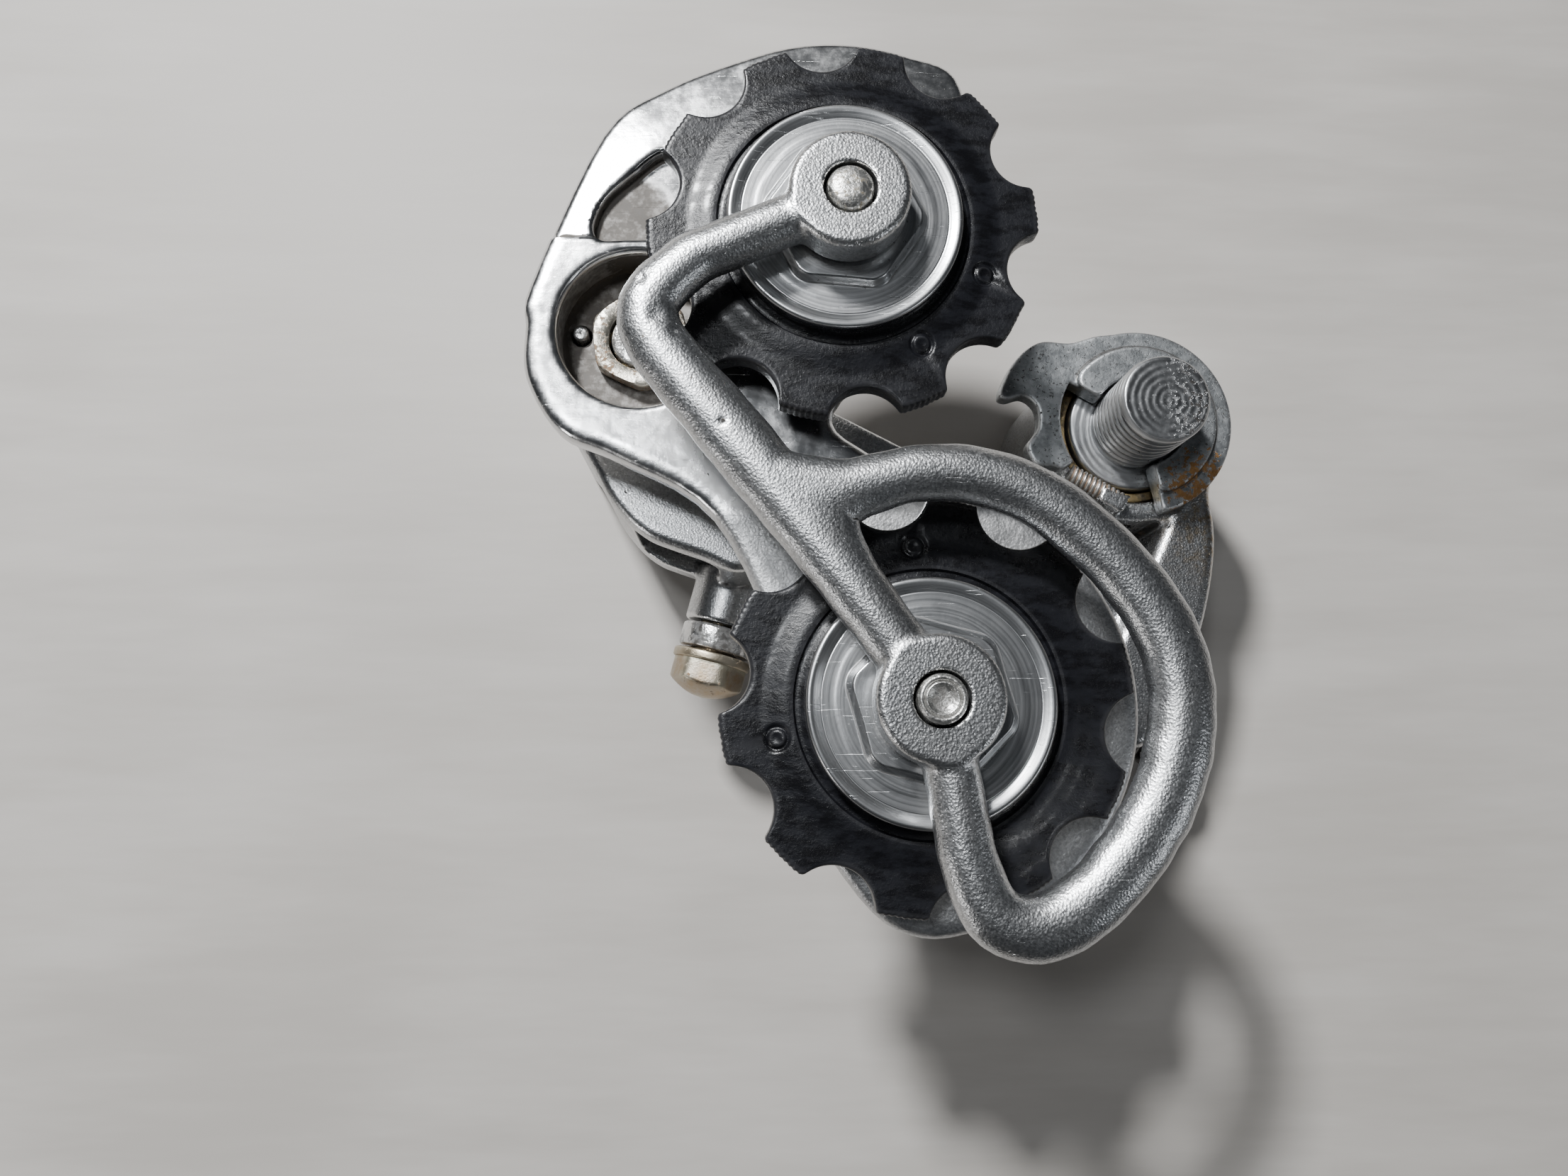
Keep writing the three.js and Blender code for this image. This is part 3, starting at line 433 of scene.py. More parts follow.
def bolt_shell():
    """Rows of radius r(t, z) round the axis. On the thread r falls by a rounded groove that
    climbs one pitch a turn, and in the head's socket r is a hexagon's."""
    shoulder, shoulder_top, shoulder_low, shank = BOLT_STEPS
    head, head_height = BOLT_HEAD
    body = softened([
        (shank, shoulder_top), (shoulder, shoulder_top), (shoulder, shoulder_low),
        (shank, shoulder_low), (shank, bolt_low + head_height), (head, bolt_low + head_height),
        (head, bolt_low), (SOCKET[0] / 2 + 1.2, bolt_low),
    ], 0.5)
    t = np.linspace(0, TAU, ROUND, endpoint=False)
    z = np.concatenate([
        np.full(24, bolt_high), np.linspace(bolt_high - 0.02, bolt_high - 0.4, 7),
        np.linspace(bolt_high - 0.45, shoulder_top + 0.6, 150), [shoulder_top],
    ])[:, None]
    r = np.concatenate([
        np.linspace(0, THREAD_RADIUS - 0.42, 24),
        THREAD_RADIUS - 0.36 + 0.34 * np.sin(np.linspace(0, 1.5, 7)),
        np.full(150, THREAD_RADIUS), [THREAD_RADIUS],
    ])[:, None]
    climb = (z / THREAD_PITCH - t / TAU) % 1
    groove = np.clip(1 - np.abs(climb - 0.5) * 2.6, 0, 1) ** 0.8
    run_in = np.clip((bolt_high - z) / 0.9, 0, 1) * np.clip((z - 0.1 + 3.6) / 1.2, 0, 1)
    r = r + 0 * t - THREAD_DEPTH * groove * run_in * (r > 4.5)
    threaded = np.stack([r * np.cos(t), r * np.sin(t), z + 0 * t], -1)
    depth = np.array([0, 0.12, 1, 1])[:, None] * SOCKET[1]
    reach = np.array([1.03, 1, 1, 0])[:, None] * hexed(SOCKET[0], t)
    socket = np.stack([reach * np.cos(t), reach * np.sin(t), bolt_low + depth + 0 * t], -1)
    return skin(np.concatenate([threaded, turned(body), socket]))


piece("mounting_bolt", "mounting_bolt", faced_steel(), bolt_shell(), crisp=50)

# ---- Hanger stop --------------------------------------------------------------------------------
# A pressed and ground steel washer under the bolt's thread. Its hook catches the hanger's tab, a
# raised C beds on the hanger, and it is cut away where the upper knuckle's peg travels.


def through(points, steps=8, closed=True):
    """A smooth curve through points, by Catmull and Rom's rule: between P1 and P2 it is
    P1 + t/2 (P2-P0) + t^2/2 (2P0-5P1+4P2-P3) + t^3/2 (3P1-P0-3P2+P3)."""
    points = np.asarray(points, float)
    if closed:
        p0, p1, p2, p3 = (np.roll(points, k, 0)[:, None] for k in (1, 0, -1, -2))
    else:
        before, after = 2 * points[:1] - points[1:2], 2 * points[-1:] - points[-2:-1]
        ends = np.concatenate([before, points, after])
        p0, p1, p2, p3 = (ends[k : len(ends) - 3 + k][:, None] for k in range(4))
    t = np.linspace(0, 1, steps, endpoint=False)[None, :, None]
    curve = p1 + t / 2 * (p2 - p0) + t**2 / 2 * (2 * p0 - 5 * p1 + 4 * p2 - p3) \
        + t**3 / 2 * (3 * p1 - p0 - 3 * p2 + p3)
    curve = curve.reshape(-1, points.shape[1])
    return curve if closed else np.concatenate([curve, points[-1:]])


def polar(centre, radius, degrees):
    """The point at a radius and an angle from a centre."""
    a = math.radians(degrees)
    return (centre[0] + radius * math.cos(a), centre[1] + radius * math.sin(a))


def sides(x, y, corners, closed=True):
    """Distance in the plane to the nearest side of an outline: below zero inside a closed one."""
    x, y = np.broadcast_arrays(x, y)
    nearest, within = np.full(x.shape, 1e9), np.zeros(x.shape, bool)
    corners = np.asarray(corners, float)
    following = np.roll(corners, -1, 0)
    count = len(corners) if closed else len(corners) - 1
    for (ax, ay), (bx, by) in zip(corners[:count], following[:count]):
        ex, ey = bx - ax, by - ay
        t = np.clip(((x - ax) * ex + (y - ay) * ey) / (ex * ex + ey * ey), 0, 1)
        nearest = np.minimum(nearest, (x - ax - t * ex) ** 2 + (y - ay - t * ey) ** 2)
        if closed and ay != by:
            within ^= ((ay > y) != (by > y)) & (x < ax + (y - ay) * ex / ey)
    return np.where(within, -1, 1) * np.sqrt(nearest)


def route(x, y, corners):
    """Distance in the plane to the nearest part of an open line, over half the width there, and
    the direction from it. The line's corners are (x, y, width)."""
    x, y = np.broadcast_arrays(x, y)
    best = [np.full(x.shape, 1e9), np.zeros(x.shape), np.zeros(x.shape)]
    for (ax, ay, start_width), (bx, by, end_width) in zip(corners[:-1], corners[1:]):
        ex, ey = bx - ax, by - ay
        t = np.clip(((x - ax) * ex + (y - ay) * ey) / (ex * ex + ey * ey), 0, 1)
        dx, dy = x - ax - t * ex, y - ay - t * ey
        away = np.hypot(dx, dy) + 1e-9
        share = away * 2 / (start_width + t * (end_width - start_width))
        closer = share < best[0]
        best = [np.where(closer, new, old) for new, old in zip((share, dx / away, dy / away), best)]
    return best


def rounded(out, up, edge):
    """Distance outside two square walls that meet in an edge with a radius."""
    out, up = out + edge, up + edge
    inside = np.minimum(np.maximum(out, up), 0)
    return inside + np.hypot(np.maximum(out, 0), np.maximum(up, 0)) - edge


def slab(wall, z, low, high, edge):
    """A flat piece: wall is the distance outside its outline, and its edges have a radius."""
    return rounded(wall, np.abs(z - (low + high) / 2) - (high - low) / 2, edge)


def together(first, second, fillet):
    """Both solids, with a fillet of that radius where they meet."""
    share = np.clip(0.5 + 0.5 * (second - first) / fillet, 0, 1)
    return second + (first - second) * share - fillet * share * (1 - share)


def less(solid, hollow, edge):
    """A solid less a hollow, with that radius on the new edge."""
    return -together(-solid, hollow, edge)


def ring(x, y, centre, radius):
    """Distance outside a circle."""
    return np.hypot(x - centre[0], y - centre[1]) - radius


def box_wall(x, y, x_range, y_range, corner=0.0):
    """Distance outside a rectangle with rounded corners."""
    walls = [np.abs(c - (low + high) / 2) - (high - low) / 2
             for c, (low, high) in ((x, x_range), (y, y_range))]
    return rounded(*walls, corner)


CELL_CORNERS = [(i, j, k) for i in (0, 1) for j in (0, 1) for k in (0, 1)]
CELL_SIDES = [(a, b) for a in range(8) for b in range(a + 1, 8)
              if sum(abs(p - q) for p, q in zip(CELL_CORNERS[a], CELL_CORNERS[b])) == 1]


def cast(solid, node, step):
    """The skin where solid(x, y, z), a distance, is zero, inside a CAD node's box. Each cell of
    a grid that the skin crosses gets one point, at the mean of its sides' crossings, and each
    side that crosses joins its four cells. Points then slide down the slope onto the skin."""
    low, high = (np.array(corner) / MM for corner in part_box(node))
    axes = [np.arange(a - 1.5 * step, b + 2.5 * step, step) for a, b in zip(low, high)]
    x, y, z = np.ix_(*axes)
    value = np.broadcast_to(solid(x, y, z), [len(a) for a in axes])
    inside = value < 0
    held = sum(inside[i : i + inside.shape[0] - 1, j : j + inside.shape[1] - 1,
                      k : k + inside.shape[2] - 1].astype(np.int8) for i, j, k in CELL_CORNERS)
    cell = np.argwhere((held > 0) & (held < 8))
    number = np.full(held.shape, -1)
    number[tuple(cell.T)] = np.arange(len(cell))
    at = np.stack([value[tuple((cell + c).T)] for c in CELL_CORNERS], 1)
    total, crossings = np.zeros((len(cell), 3)), np.zeros((len(cell), 1))
    for a, b in CELL_SIDES:
        crossed = (at[:, a] < 0) != (at[:, b] < 0)
        share = np.where(crossed, at[:, a] / np.where(crossed, at[:, a] - at[:, b], 1), 0)[:, None]
        place = np.array(CELL_CORNERS[a]) * (1 - share) + np.array(CELL_CORNERS[b]) * share
        total += np.where(crossed[:, None], place, 0)
        crossings += crossed[:, None]
    points = np.array([a[0] for a in axes]) + step * (cell + total / crossings)
    faces = []
    for axis in range(3):
        one, two = (axis + 1) % 3, (axis + 2) % 3
        ahead = np.roll(inside, -1, axis)
        change = inside != ahead
        change[tuple(slice(-1, None) if i == axis else slice(None) for i in range(3))] = False
        side = np.argwhere(change)
        step_one, step_two = np.eye(3, dtype=int)[one], np.eye(3, dtype=int)[two]
        near = [side - step_one - step_two, side - step_two, side, side - step_one]
        four = np.stack([number[tuple(cells.T)] for cells in near], 1)
        flip = inside[tuple(side.T)]
        four[flip] = four[flip][:, ::-1]
        faces.append(four)
    for _ in range(3):
        points = settle(solid, points, step)
    return np.clip(points, low, high), np.concatenate(faces)


def settle(solid, points, step):
    """Moves points along the slope of solid by its value there, to where it is zero."""
    reach = 0.1 * step
    here = solid(*points.T)
    slope = np.stack([solid(*(points + reach * axis).T) - here for axis in np.eye(3)], 1) / reach
    move = here[:, None] * slope / np.maximum((slope**2).sum(1, keepdims=True), 0.25)
    return points - np.clip(move, -step, step)


STOP_RADIUS = 10.85
STOP_LEVELS = (-3.0, -0.6)
LAND_RING = (5.25, 8.85)  # inner and outer radius of the raised C
LAND_FROM, LAND_TO = 293, 498  # degrees, through the top
WINDOW = (9.2, 150, 282)
CUT_FROM, CUT_TO = 212, 282
HOOK = through([
    (-3, 9.2), (-8, 9.4), (-11.5, 9.4), (-14.4, 7), (-16.2, 3.4), (-15.4, 2.5),
    (-13.4, 2.9), (-11.9, 1.6), (-11.8, -0.9), (-13.2, -3.2), (-11.4, -5.4), (-6, -3),
], 6)


def sector(x, y, from_angle, to_angle):
    """Distance outside the wedge between two angles about the bolt, less than half a turn."""
    a, b = math.radians(from_angle), math.radians(to_angle)
    return np.maximum(x * math.sin(a) - y * math.cos(a), y * math.cos(b) - x * math.sin(b))


def arc_line(x, y, radius, from_angle, to_angle):
    """Distance to an arc about the bolt, so that less its half width it has round ends."""
    half = math.radians(to_angle - from_angle) / 2
    centre_angle = math.radians(from_angle + to_angle) / 2
    u = x * math.cos(centre_angle) + y * math.sin(centre_angle)
    v = np.abs(-x * math.sin(centre_angle) + y * math.cos(centre_angle))
    beyond = np.arctan2(v, u) > half
    to_end = np.hypot(u - radius * math.cos(half), v - radius * math.sin(half))
    return np.where(beyond, to_end, np.abs(np.hypot(u, v) - radius))


def stop_solid(x, y, z):
    r = np.hypot(x, y)
    plate_wall = together(r - STOP_RADIUS, sides(x, y, HOOK), 1.2)
    inner, outer = LAND_RING
    land_wall = arc_line(x, y, (inner + outer) / 2, LAND_FROM, LAND_TO) - (outer - inner) / 2
    land = slab(land_wall, z, STOP_LEVELS[0], 0, 0.3)
    made = together(slab(plate_wall, z, *STOP_LEVELS, 0.35), land, 0.25)
    made = less(made, np.maximum(r - WINDOW[0], sector(x, y, *WINDOW[1:])), 0.3)
    made = less(made, sector(x, y, CUT_FROM, CUT_TO), 0.3)
    return less(made, r - LAND_RING[0], 0.3)


RUSTY_CORNER = (6.5, -7.5, 0)


def stained_steel():
    """Grey ground steel, mottled and pitted, with brown rust creeping in from its lower edge."""
    finish = Finish("stained_steel")
    worn, crease = finish.edges()
    mottle = finish.noise(1.4, 5, 0.65)
    from_corner = finish.distance(finish.place, RUSTY_CORNER) + mottle * 3 * MM
    corner = finish.ramp(from_corner, 8.5 * MM, 3.5 * MM)
    rust = finish.ramp(finish.noise(0.9, 5, 0.7) + corner * 0.28, 0.72, 0.8)
    pits = finish.ramp(finish.noise(0.38, 3, 0.6), 0.60, 0.66)
    # Dirt and painted shade: crease depth, pits and mottle darken the steel to near black, and the
    # creases' share is painted shade.
    grime_and_shade = finish.ramp(crease + pits * 0.8 + finish.ramp(mottle, 0.56, 0.72) * 0.35, 0.1, 1)
    tone = finish.mix(finish.ramp(mottle, 0.3, 0.7), (0.30, 0.315, 0.325), (0.54, 0.56, 0.57))
    tone = finish.mix(worn * 0.6, tone, (0.76, 0.77, 0.78))
    tone = finish.mix(grime_and_shade * 0.85, tone, (0.06, 0.055, 0.05))
    height = finish.noise(0.35, 4, 0.65) * 0.6 - pits * 1.0 + rust * finish.noise(0.2, 2) * 1.2
    brown = finish.mix(finish.noise(0.5), (0.20, 0.085, 0.025), (0.42, 0.24, 0.09))
    return finish.set(
        Base_Color=finish.mix(rust, tone, brown),
        Metallic=1 - (rust * 0.9 + grime_and_shade * 0.5).at_most(1),
        Roughness=0.36 + mottle * 0.16 + rust * 0.4,
        Normal=finish.bump(height, 0.05),
    ).material


piece("hanger_stop", "hanger_set", stained_steel(),
      cast(stop_solid, "hanger_stop", 0.22))

# ---- Tension screw ------------------------------------------------------------------------------
# The small rusty set screw in the upper knuckle's peg. Its tip leans on the end of the hanger stop
# and sets how far the derailleur hangs from the sprockets.


def threaded(low, high, radius, pitch, depth, closed_top=True):
    """Rows of a screw's shank: r(t, z) is the radius less a groove that climbs a pitch a turn.
    It starts at its lower pole, and ends at the upper one where closed_top is true."""
    t = np.linspace(0, TAU, ROUND // 2, endpoint=False)
    z = np.arange(low + 0.35 * radius, high - 0.01, pitch / 10)[:, None]
    groove = (0.5 + 0.5 * np.cos(TAU * (z / pitch - t / TAU))) ** 1.6
    run = np.clip((z - low) / pitch, 0, 1)
    r = radius - depth * groove * run
    rows = np.stack([r * np.cos(t), r * np.sin(t), z + 0 * t], -1)
    tip = turned([(0, low), (0.62 * radius, low), (0.7 * radius, low + 0.06)], len(t))
    top = turned([(radius, high), (0, high)], len(t))
    return np.concatenate([tip, rows, top] if closed_top else [tip, rows])


def between(start, end):
    """A unit vector from one point to another, and the distance between them."""
    run = np.subtract(end, start)
    length = np.linalg.norm(run)
    return run / length, length


PEG_PLACE = (*polar((0, 0), 9.3, 250), -1.9)
PEG_TIP = (*polar((0, 0), 10.0, 216), -1.9)
screw_run, screw_length = between(PEG_PLACE, PEG_TIP)


def rusty_steel(name="rusty_steel", gold=0.0, rusted=0.0):
    """Thin yellowish plating worn down to grey steel, with rust in its creases."""
    finish = Finish(name)
    worn, crease = finish.edges()
    cloud = finish.noise(1.6, 5, 0.65)
    rust = finish.ramp(finish.noise(0.8, 5, 0.7) + crease * 0.25 + rusted, 0.58, 0.72)
    plated = (0.42 - 0.02 * gold, 0.39 - 0.09 * gold, 0.35 - 0.16 * gold)
    grey = (0.52 - 0.04 * gold, 0.51 - 0.08 * gold, 0.49 - 0.13 * gold)
    tone = finish.mix(finish.ramp(cloud, 0.3, 0.7), plated, grey)
    tone = finish.mix(worn * 0.7, tone, (0.70, 0.68, 0.65 - 0.1 * gold))
    brown = finish.mix(finish.noise(0.35), (0.11, 0.05, 0.02), (0.34, 0.18, 0.07))
    return finish.set(
        Base_Color=finish.mix(rust * 0.85, tone, brown),
        Metallic=1 - rust * 0.85,
        Roughness=0.30 + cloud * 0.18 + rust * 0.35,
        Normal=finish.bump(finish.noise(0.25, 4, 0.6) + rust * 0.8, 0.03),
    ).material


worn_plating = rusty_steel()
set_screw = skin(threaded(-1.6, screw_length, 1.1, 0.6, 0.2))
piece("tension_screw", "tension_screw", worn_plating,
      set_on(set_screw, PEG_PLACE, screw_run))

# ---- Upper knuckle ------------------------------------------------------------------------------
# A cast aluminium body with a satin blasted skin. Its barrel turns on the mounting bolt, its arm
# carries the screws, and a lug between the two links holds their upper pins.

SLANT = math.radians(-23.95)  # plan angle of the line from the lower pins to the upper pins
PIN_AXIS = (-math.sin(SLANT), math.cos(SLANT), 0)
LINK_AXIS = (math.cos(SLANT), math.sin(SLANT), 0)
UPPER_PINS, LOWER_PINS = middle_of("upper_outer_pin")[:2], middle_of("lower_outer_pin")[:2]
UPPER_LEVELS = (middle_of("upper_inner_pin")[2], middle_of("upper_outer_pin")[2])
LOWER_LEVELS = (middle_of("lower_inner_pin")[2], middle_of("lower_outer_pin")[2])
PIN_HOLE = 1.8
LUG_HALF, LUG_RADIUS = 4.1, 3.2
UPPER_BARREL = (11.2, -25.0, -3.3)
ARM_LEVELS = (-23.5, -3.0)
ARM = through([
    (4, 15.42), (4, -2), (4, -12.5), (11.1, -13), (12.6, -5.5),
    (12.6, 4), (9.9, 14.42), (4.2, 21.42), (0.5, 17.42),
], 7)
ADJUSTER_LINE = (-9.5, -15.0)  # across and up, in the links' own frame
LIMIT_LINES = ((2.4, -13.0), (-2.4, -13.0))


def along_links(x, y, pins):
    """Plan distances along the links and along their pins, from a pin's axis."""
    dx, dy = x - pins[0], y - pins[1]
    return dx * math.cos(SLANT) + dy * math.sin(SLANT), dy * math.cos(SLANT) - dx * math.sin(SLANT)


def in_plan(point, pins):
    """A point of the links' own frame, back in the derailleur's."""
    u, v, z = point
    return (pins[0] + u * math.cos(SLANT) - v * math.sin(SLANT),
            pins[1] + u * math.sin(SLANT) + v * math.cos(SLANT), z)


def lug_solid(u, v, z, levels, reach):
    """A block between two round ends, as wide as the room between the links' ears."""
    ends = np.minimum(*(ring(u, z, (0, level), LUG_RADIUS) for level in levels))
    web = box_wall(u, z, (min(0.6, reach), max(-0.6, reach)) if reach > 0 else (reach, -0.6),
                   (levels[1] - LUG_RADIUS, levels[0] + LUG_RADIUS), 0.3)
    return slab(together(ends, web, 0.8), v, -LUG_HALF, LUG_HALF, 0.5)


def upper_knuckle_solid(x, y, z):
    radius, low, high = UPPER_BARREL
    r = np.hypot(x, y)
    u, v = along_links(x, y, UPPER_PINS)
    made = slab(r - radius, z, low, high, 0.9)
    made = together(made, slab(sides(u, v, ARM), z, *ARM_LEVELS, 1.3), 1.6)
    made = together(made, lug_solid(u, v, z, UPPER_LEVELS, 6), 1.2)
    turn = math.atan2(screw_run[1], screw_run[0])
    px, py = x - PEG_PLACE[0], y - PEG_PLACE[1]
    along, aside = (px * math.cos(turn) + py * math.sin(turn),
                    py * math.cos(turn) - px * math.sin(turn))
    peg_wall = box_wall(along, aside, (-1.6, 1.6), (-1.6, 1.6), 0.5)
    made = together(made, slab(peg_wall, z, high - 1, -0.2, 0.3), 0.4)
    for bore, floor, roof in ((9.0, -18.3, 9), (4.9, -60, 9), (8.5, -60, -20.8)):
        made = less(made, np.maximum(r - bore, np.maximum(floor - z, z - roof)), 0.35)
    made = less(made, ring(v, z, ADJUSTER_LINE, 2.7), 0.5)
    for line in LIMIT_LINES:
        made = less(made, ring(v, z, line, 1.8), 0.3)
    for level in UPPER_LEVELS:
        made = less(made, ring(u, z, (0, level), PIN_HOLE), 0.25)
    along = (x - PEG_PLACE[0]) * screw_run[0] + (y - PEG_PLACE[1]) * screw_run[1]
    away = (y - PEG_PLACE[1]) * screw_run[0] - (x - PEG_PLACE[0]) * screw_run[1]
    screw_hole = np.hypot(away, z - PEG_PLACE[2]) - 1.4
    return less(made, np.maximum(screw_hole, np.abs(along) - 5), 0.15)


def blasted_alloy(name, grain=1.0, dirt=1.0, stain=None, clumps=()):
    """Aluminium with a fine blasted skin, its sparkle painted into the colour as near-white glints.
    Its edges are rubbed bright, and its creases are darkened by black grease and brown dust and by
    painted shade. A stain is (x, y, z, reach) of a yellow patch, and each clump is (x, y, reach) of
    a place where the dirt gathers."""
    finish = Finish(name)
    worn, crease = finish.edges()
    cloud = finish.noise(5, 4, 0.6)
    grit = finish.noise(0.3, 3, 0.7)
    facets = finish.cells(0.24)
    # Painted glints: near-white specks mixed into the colour stand in for light sparkling off the
    # blasted facets.
    painted_glints = finish.ramp(finish.noise(0.22, 1, 0.5), 0.60, 0.72)
    lines = finish.noise(1, 2, 0.5, finish.stretched((0.2, 0.1, 0.7), (0.16, 4.5, 4.5)))
    more_lines = finish.noise(1, 2, 0.5, finish.stretched((0.1, 0.3, 2.2), (0.14, 4.0, 4.0)))
    scratch = finish.ramp(lines, 0.70, 0.74) * finish.ramp(cloud, 0.45, 0.6)
    scratch = scratch + finish.ramp(more_lines, 0.72, 0.76) * finish.ramp(cloud, 0.6, 0.45)
    near = finish.ramp(finish.noise(7), 0.42, 0.6) * 0.5
    flat = finish.flat()
    for x, y, reach in clumps:
        away = finish.distance(flat, (x, y, 0))
        near = near + finish.ramp(away, reach * MM, 0.1 * reach * MM)
    near = near.at_most(1)
    flecks = finish.ramp(finish.noise(0.55, 4, 0.7) + near * 0.07, 0.685, 0.715) * near
    # Dirt and painted shade: each crease goes dark by its depth alone, as painted shade, and dirt
    # flecks gather at the clumps.
    grime_and_shade = finish.ramp(crease * 1.2 + flecks * 1.4, 0.15, 0.9) * dirt
    tone = finish.mix(finish.ramp(grit, 0.25, 0.75), (0.42, 0.43, 0.44), (0.74, 0.75, 0.76))
    tone = finish.mix(finish.ramp(cloud, 0.35, 0.7) * 0.35, tone, (0.36, 0.35, 0.34))
    tone = finish.mix(painted_glints * 0.6, tone, (0.95, 0.95, 0.95))
    tone = finish.mix(worn * 0.7, tone, (0.93, 0.93, 0.92))
    if stain:
        from_stain = finish.distance(finish.place, stain[:3]) + cloud * 4 * MM
        near = finish.ramp(from_stain, stain[3] * MM, 0.3 * stain[3] * MM)
        patchy = finish.ramp(finish.noise(0.8, 5, 0.7), 0.40, 0.66) * near
        tone = finish.mix(patchy * 0.75, tone, (0.42, 0.29, 0.13))
    dusty = finish.ramp(finish.noise(1.2), 0.5, 0.7)
    # The near-black and brown colour of the dirt and of the painted crease shade.
    soil_and_shade = finish.mix(dusty, (0.03, 0.028, 0.026), (0.12, 0.085, 0.05))
    height = grit * 0.75 + facets * 0.75 - scratch * 0.7 + flecks * 1.2
    return finish.set(
        Base_Color=finish.mix(grime_and_shade, tone, soil_and_shade),
        Metallic=1 - grime_and_shade * 0.85,
        Roughness=(0.24 + grit * 0.14 + cloud * 0.05 - worn * 0.07 + grime_and_shade * 0.3) - painted_glints * 0.1,
        Normal=finish.bump(height, 0.034 * grain),
    ).material


piece("upper_knuckle", "upper_knuckle",
      blasted_alloy("knuckle_alloy", stain=(9.5, -12, -3, 12)),
      cast(upper_knuckle_solid, "upper_knuckle", 0.3))

# ---- Bush and body spring -----------------------------------------------------------------------
# The brass-coloured bush that the knuckle turns on, and the strong coil that pulls it against its
# stop. Both are thick with old grease.

# Near-black grease colour, also used as painted shade in creases.
GREASE_AND_SHADE = (0.028, 0.024, 0.018)


def greasy(name, light, shade, wet=0.25):
    """Bare metal under patches of dark grease, which with painted shade also darken its creases."""
    finish = Finish(name)
    worn, crease = finish.edges()
    # Grease patches, and painted shade from the crease depth.
    grease_film_and_shade = finish.ramp(finish.noise(1.7, 4, 0.6) + crease * 0.5, 0.42, 0.66)
    tone = finish.mix(finish.noise(0.6, 3), shade, light)
    return finish.set(
        Base_Color=finish.mix(grease_film_and_shade * 0.9, tone, GREASE_AND_SHADE),
        Metallic=1 - grease_film_and_shade * 0.8,
        Roughness=wet + finish.noise(0.8, 3) * 0.2,
        Coat_Weight=grease_film_and_shade * 0.6,
        Normal=finish.bump(finish.noise(0.5, 3) + grease_film_and_shade, 0.04),
    ).material


greasy_bronze = greasy("greasy_bronze", (0.72, 0.56, 0.30), (0.44, 0.32, 0.16))
greasy_spring = greasy("greasy_spring", (0.42, 0.41, 0.40), (0.20, 0.19, 0.18))


def sleeve(inner, outer, low, high, ease=0.2):
    """A ring of four eased walls."""
    corners = [(inner, low), (outer, low), (outer, high), (inner, high)]
    return skin(turned(softened(corners, ease, 4, closed=True)), close_rows=True)


def carried(path, section):
    """Sets a closed section's points square to each part of a path: P + a N + b B, where B is
    Z square to the path and N is square to both. Each end closes in a pole."""
    run = np.gradient(path, axis=0)
    run /= np.linalg.norm(run, axis=1, keepdims=True)
    lift = np.array([0, 0, 1]) - run * run[:, 2:]
    lift /= np.linalg.norm(lift, axis=1, keepdims=True)
    aside = np.cross(run, lift)
    rows = path[:, None] + section[:, :1] * aside[:, None] + section[:, 1:] * lift[:, None]
    ends = [np.repeat(path[i][None, None], len(section), 1) for i in (0, -1)]
    return np.concatenate([ends[0], rows, ends[1]])


def coil(outer, wire, low, high, turns, start=0.0):
    """A spring's wire: it winds round Z at a steady slope, and lies flat for its first and last
    half turns."""
    t = np.linspace(0, turns, int(turns * 60))
    rise = np.clip((t - 0.4) / (turns - 0.8), 0, 1)
    radius = outer - wire / 2
    path = np.stack([radius * np.cos(TAU * t + start), radius * np.sin(TAU * t + start),
                     low + wire / 2 + rise * (high - low - wire)], -1)
    a = np.linspace(0, TAU, 16, endpoint=False)
    return skin(carried(path, np.stack([np.cos(a), np.sin(a)], -1) * wire / 2))


piece("knuckle_bush", "upper_knuckle", greasy_bronze,
      sleeve(7.7, 8.7, *span_of("knuckle_bush")))
piece("body_spring", "upper_knuckle", greasy_spring,
      coil(8.7, 1.8, *span_of("body_spring"), 3.0))

# ---- Screws and cable adjuster ------------------------------------------------------------------
# Two slotted limit screws in the arm, and the black moulded barrel that the cable's casing seats
# in. A small spring under its head keeps it from turning by itself.

LIMIT_TIP, LIMIT_HEAD, LIMIT_END = 1.2, 13.1, 14.8
SCREW_RADIUS, HEAD_RADIUS, SLOT_HALF = 1.5, 2.1, 0.35
ADJUSTER_START, ADJUSTER_HEAD, ADJUSTER_END = 2.8, 16.0, 19.6


def slotted_screw():
    """A threaded shank under a cheese head whose top sinks by a slot: z falls by the slot's
    depth where the distance across it is under half its width."""
    shank = threaded(LIMIT_TIP, LIMIT_HEAD, SCREW_RADIUS, 0.7, 0.22, closed_top=False)
    columns = shank.shape[1]
    head = [(SCREW_RADIUS, LIMIT_HEAD), (HEAD_RADIUS, LIMIT_HEAD),
            (HEAD_RADIUS, LIMIT_END), (HEAD_RADIUS - 0.35, LIMIT_END)]
    side = turned(softened(head, 0.3), columns)
    face = turned([(r, LIMIT_END) for r in np.linspace(HEAD_RADIUS - 0.4, 0, 14)], columns)
    sunk = np.clip((SLOT_HALF + 0.12 - np.abs(face[..., 1])) / 0.16, 0, 1)
    face[..., 2] -= 0.7 * sunk
    return skin(np.concatenate([shank, side, face]))


satin_screw = rusty_steel("satin_screw", gold=-0.6)
for screw_name, (across_pin, level) in zip(("high_limit_screw", "low_limit_screw"), LIMIT_LINES):
    piece(screw_name, screw_name, satin_screw,
          set_on(slotted_screw(), in_plan((0, across_pin, level), UPPER_PINS), LINK_AXIS, turn=0.6))


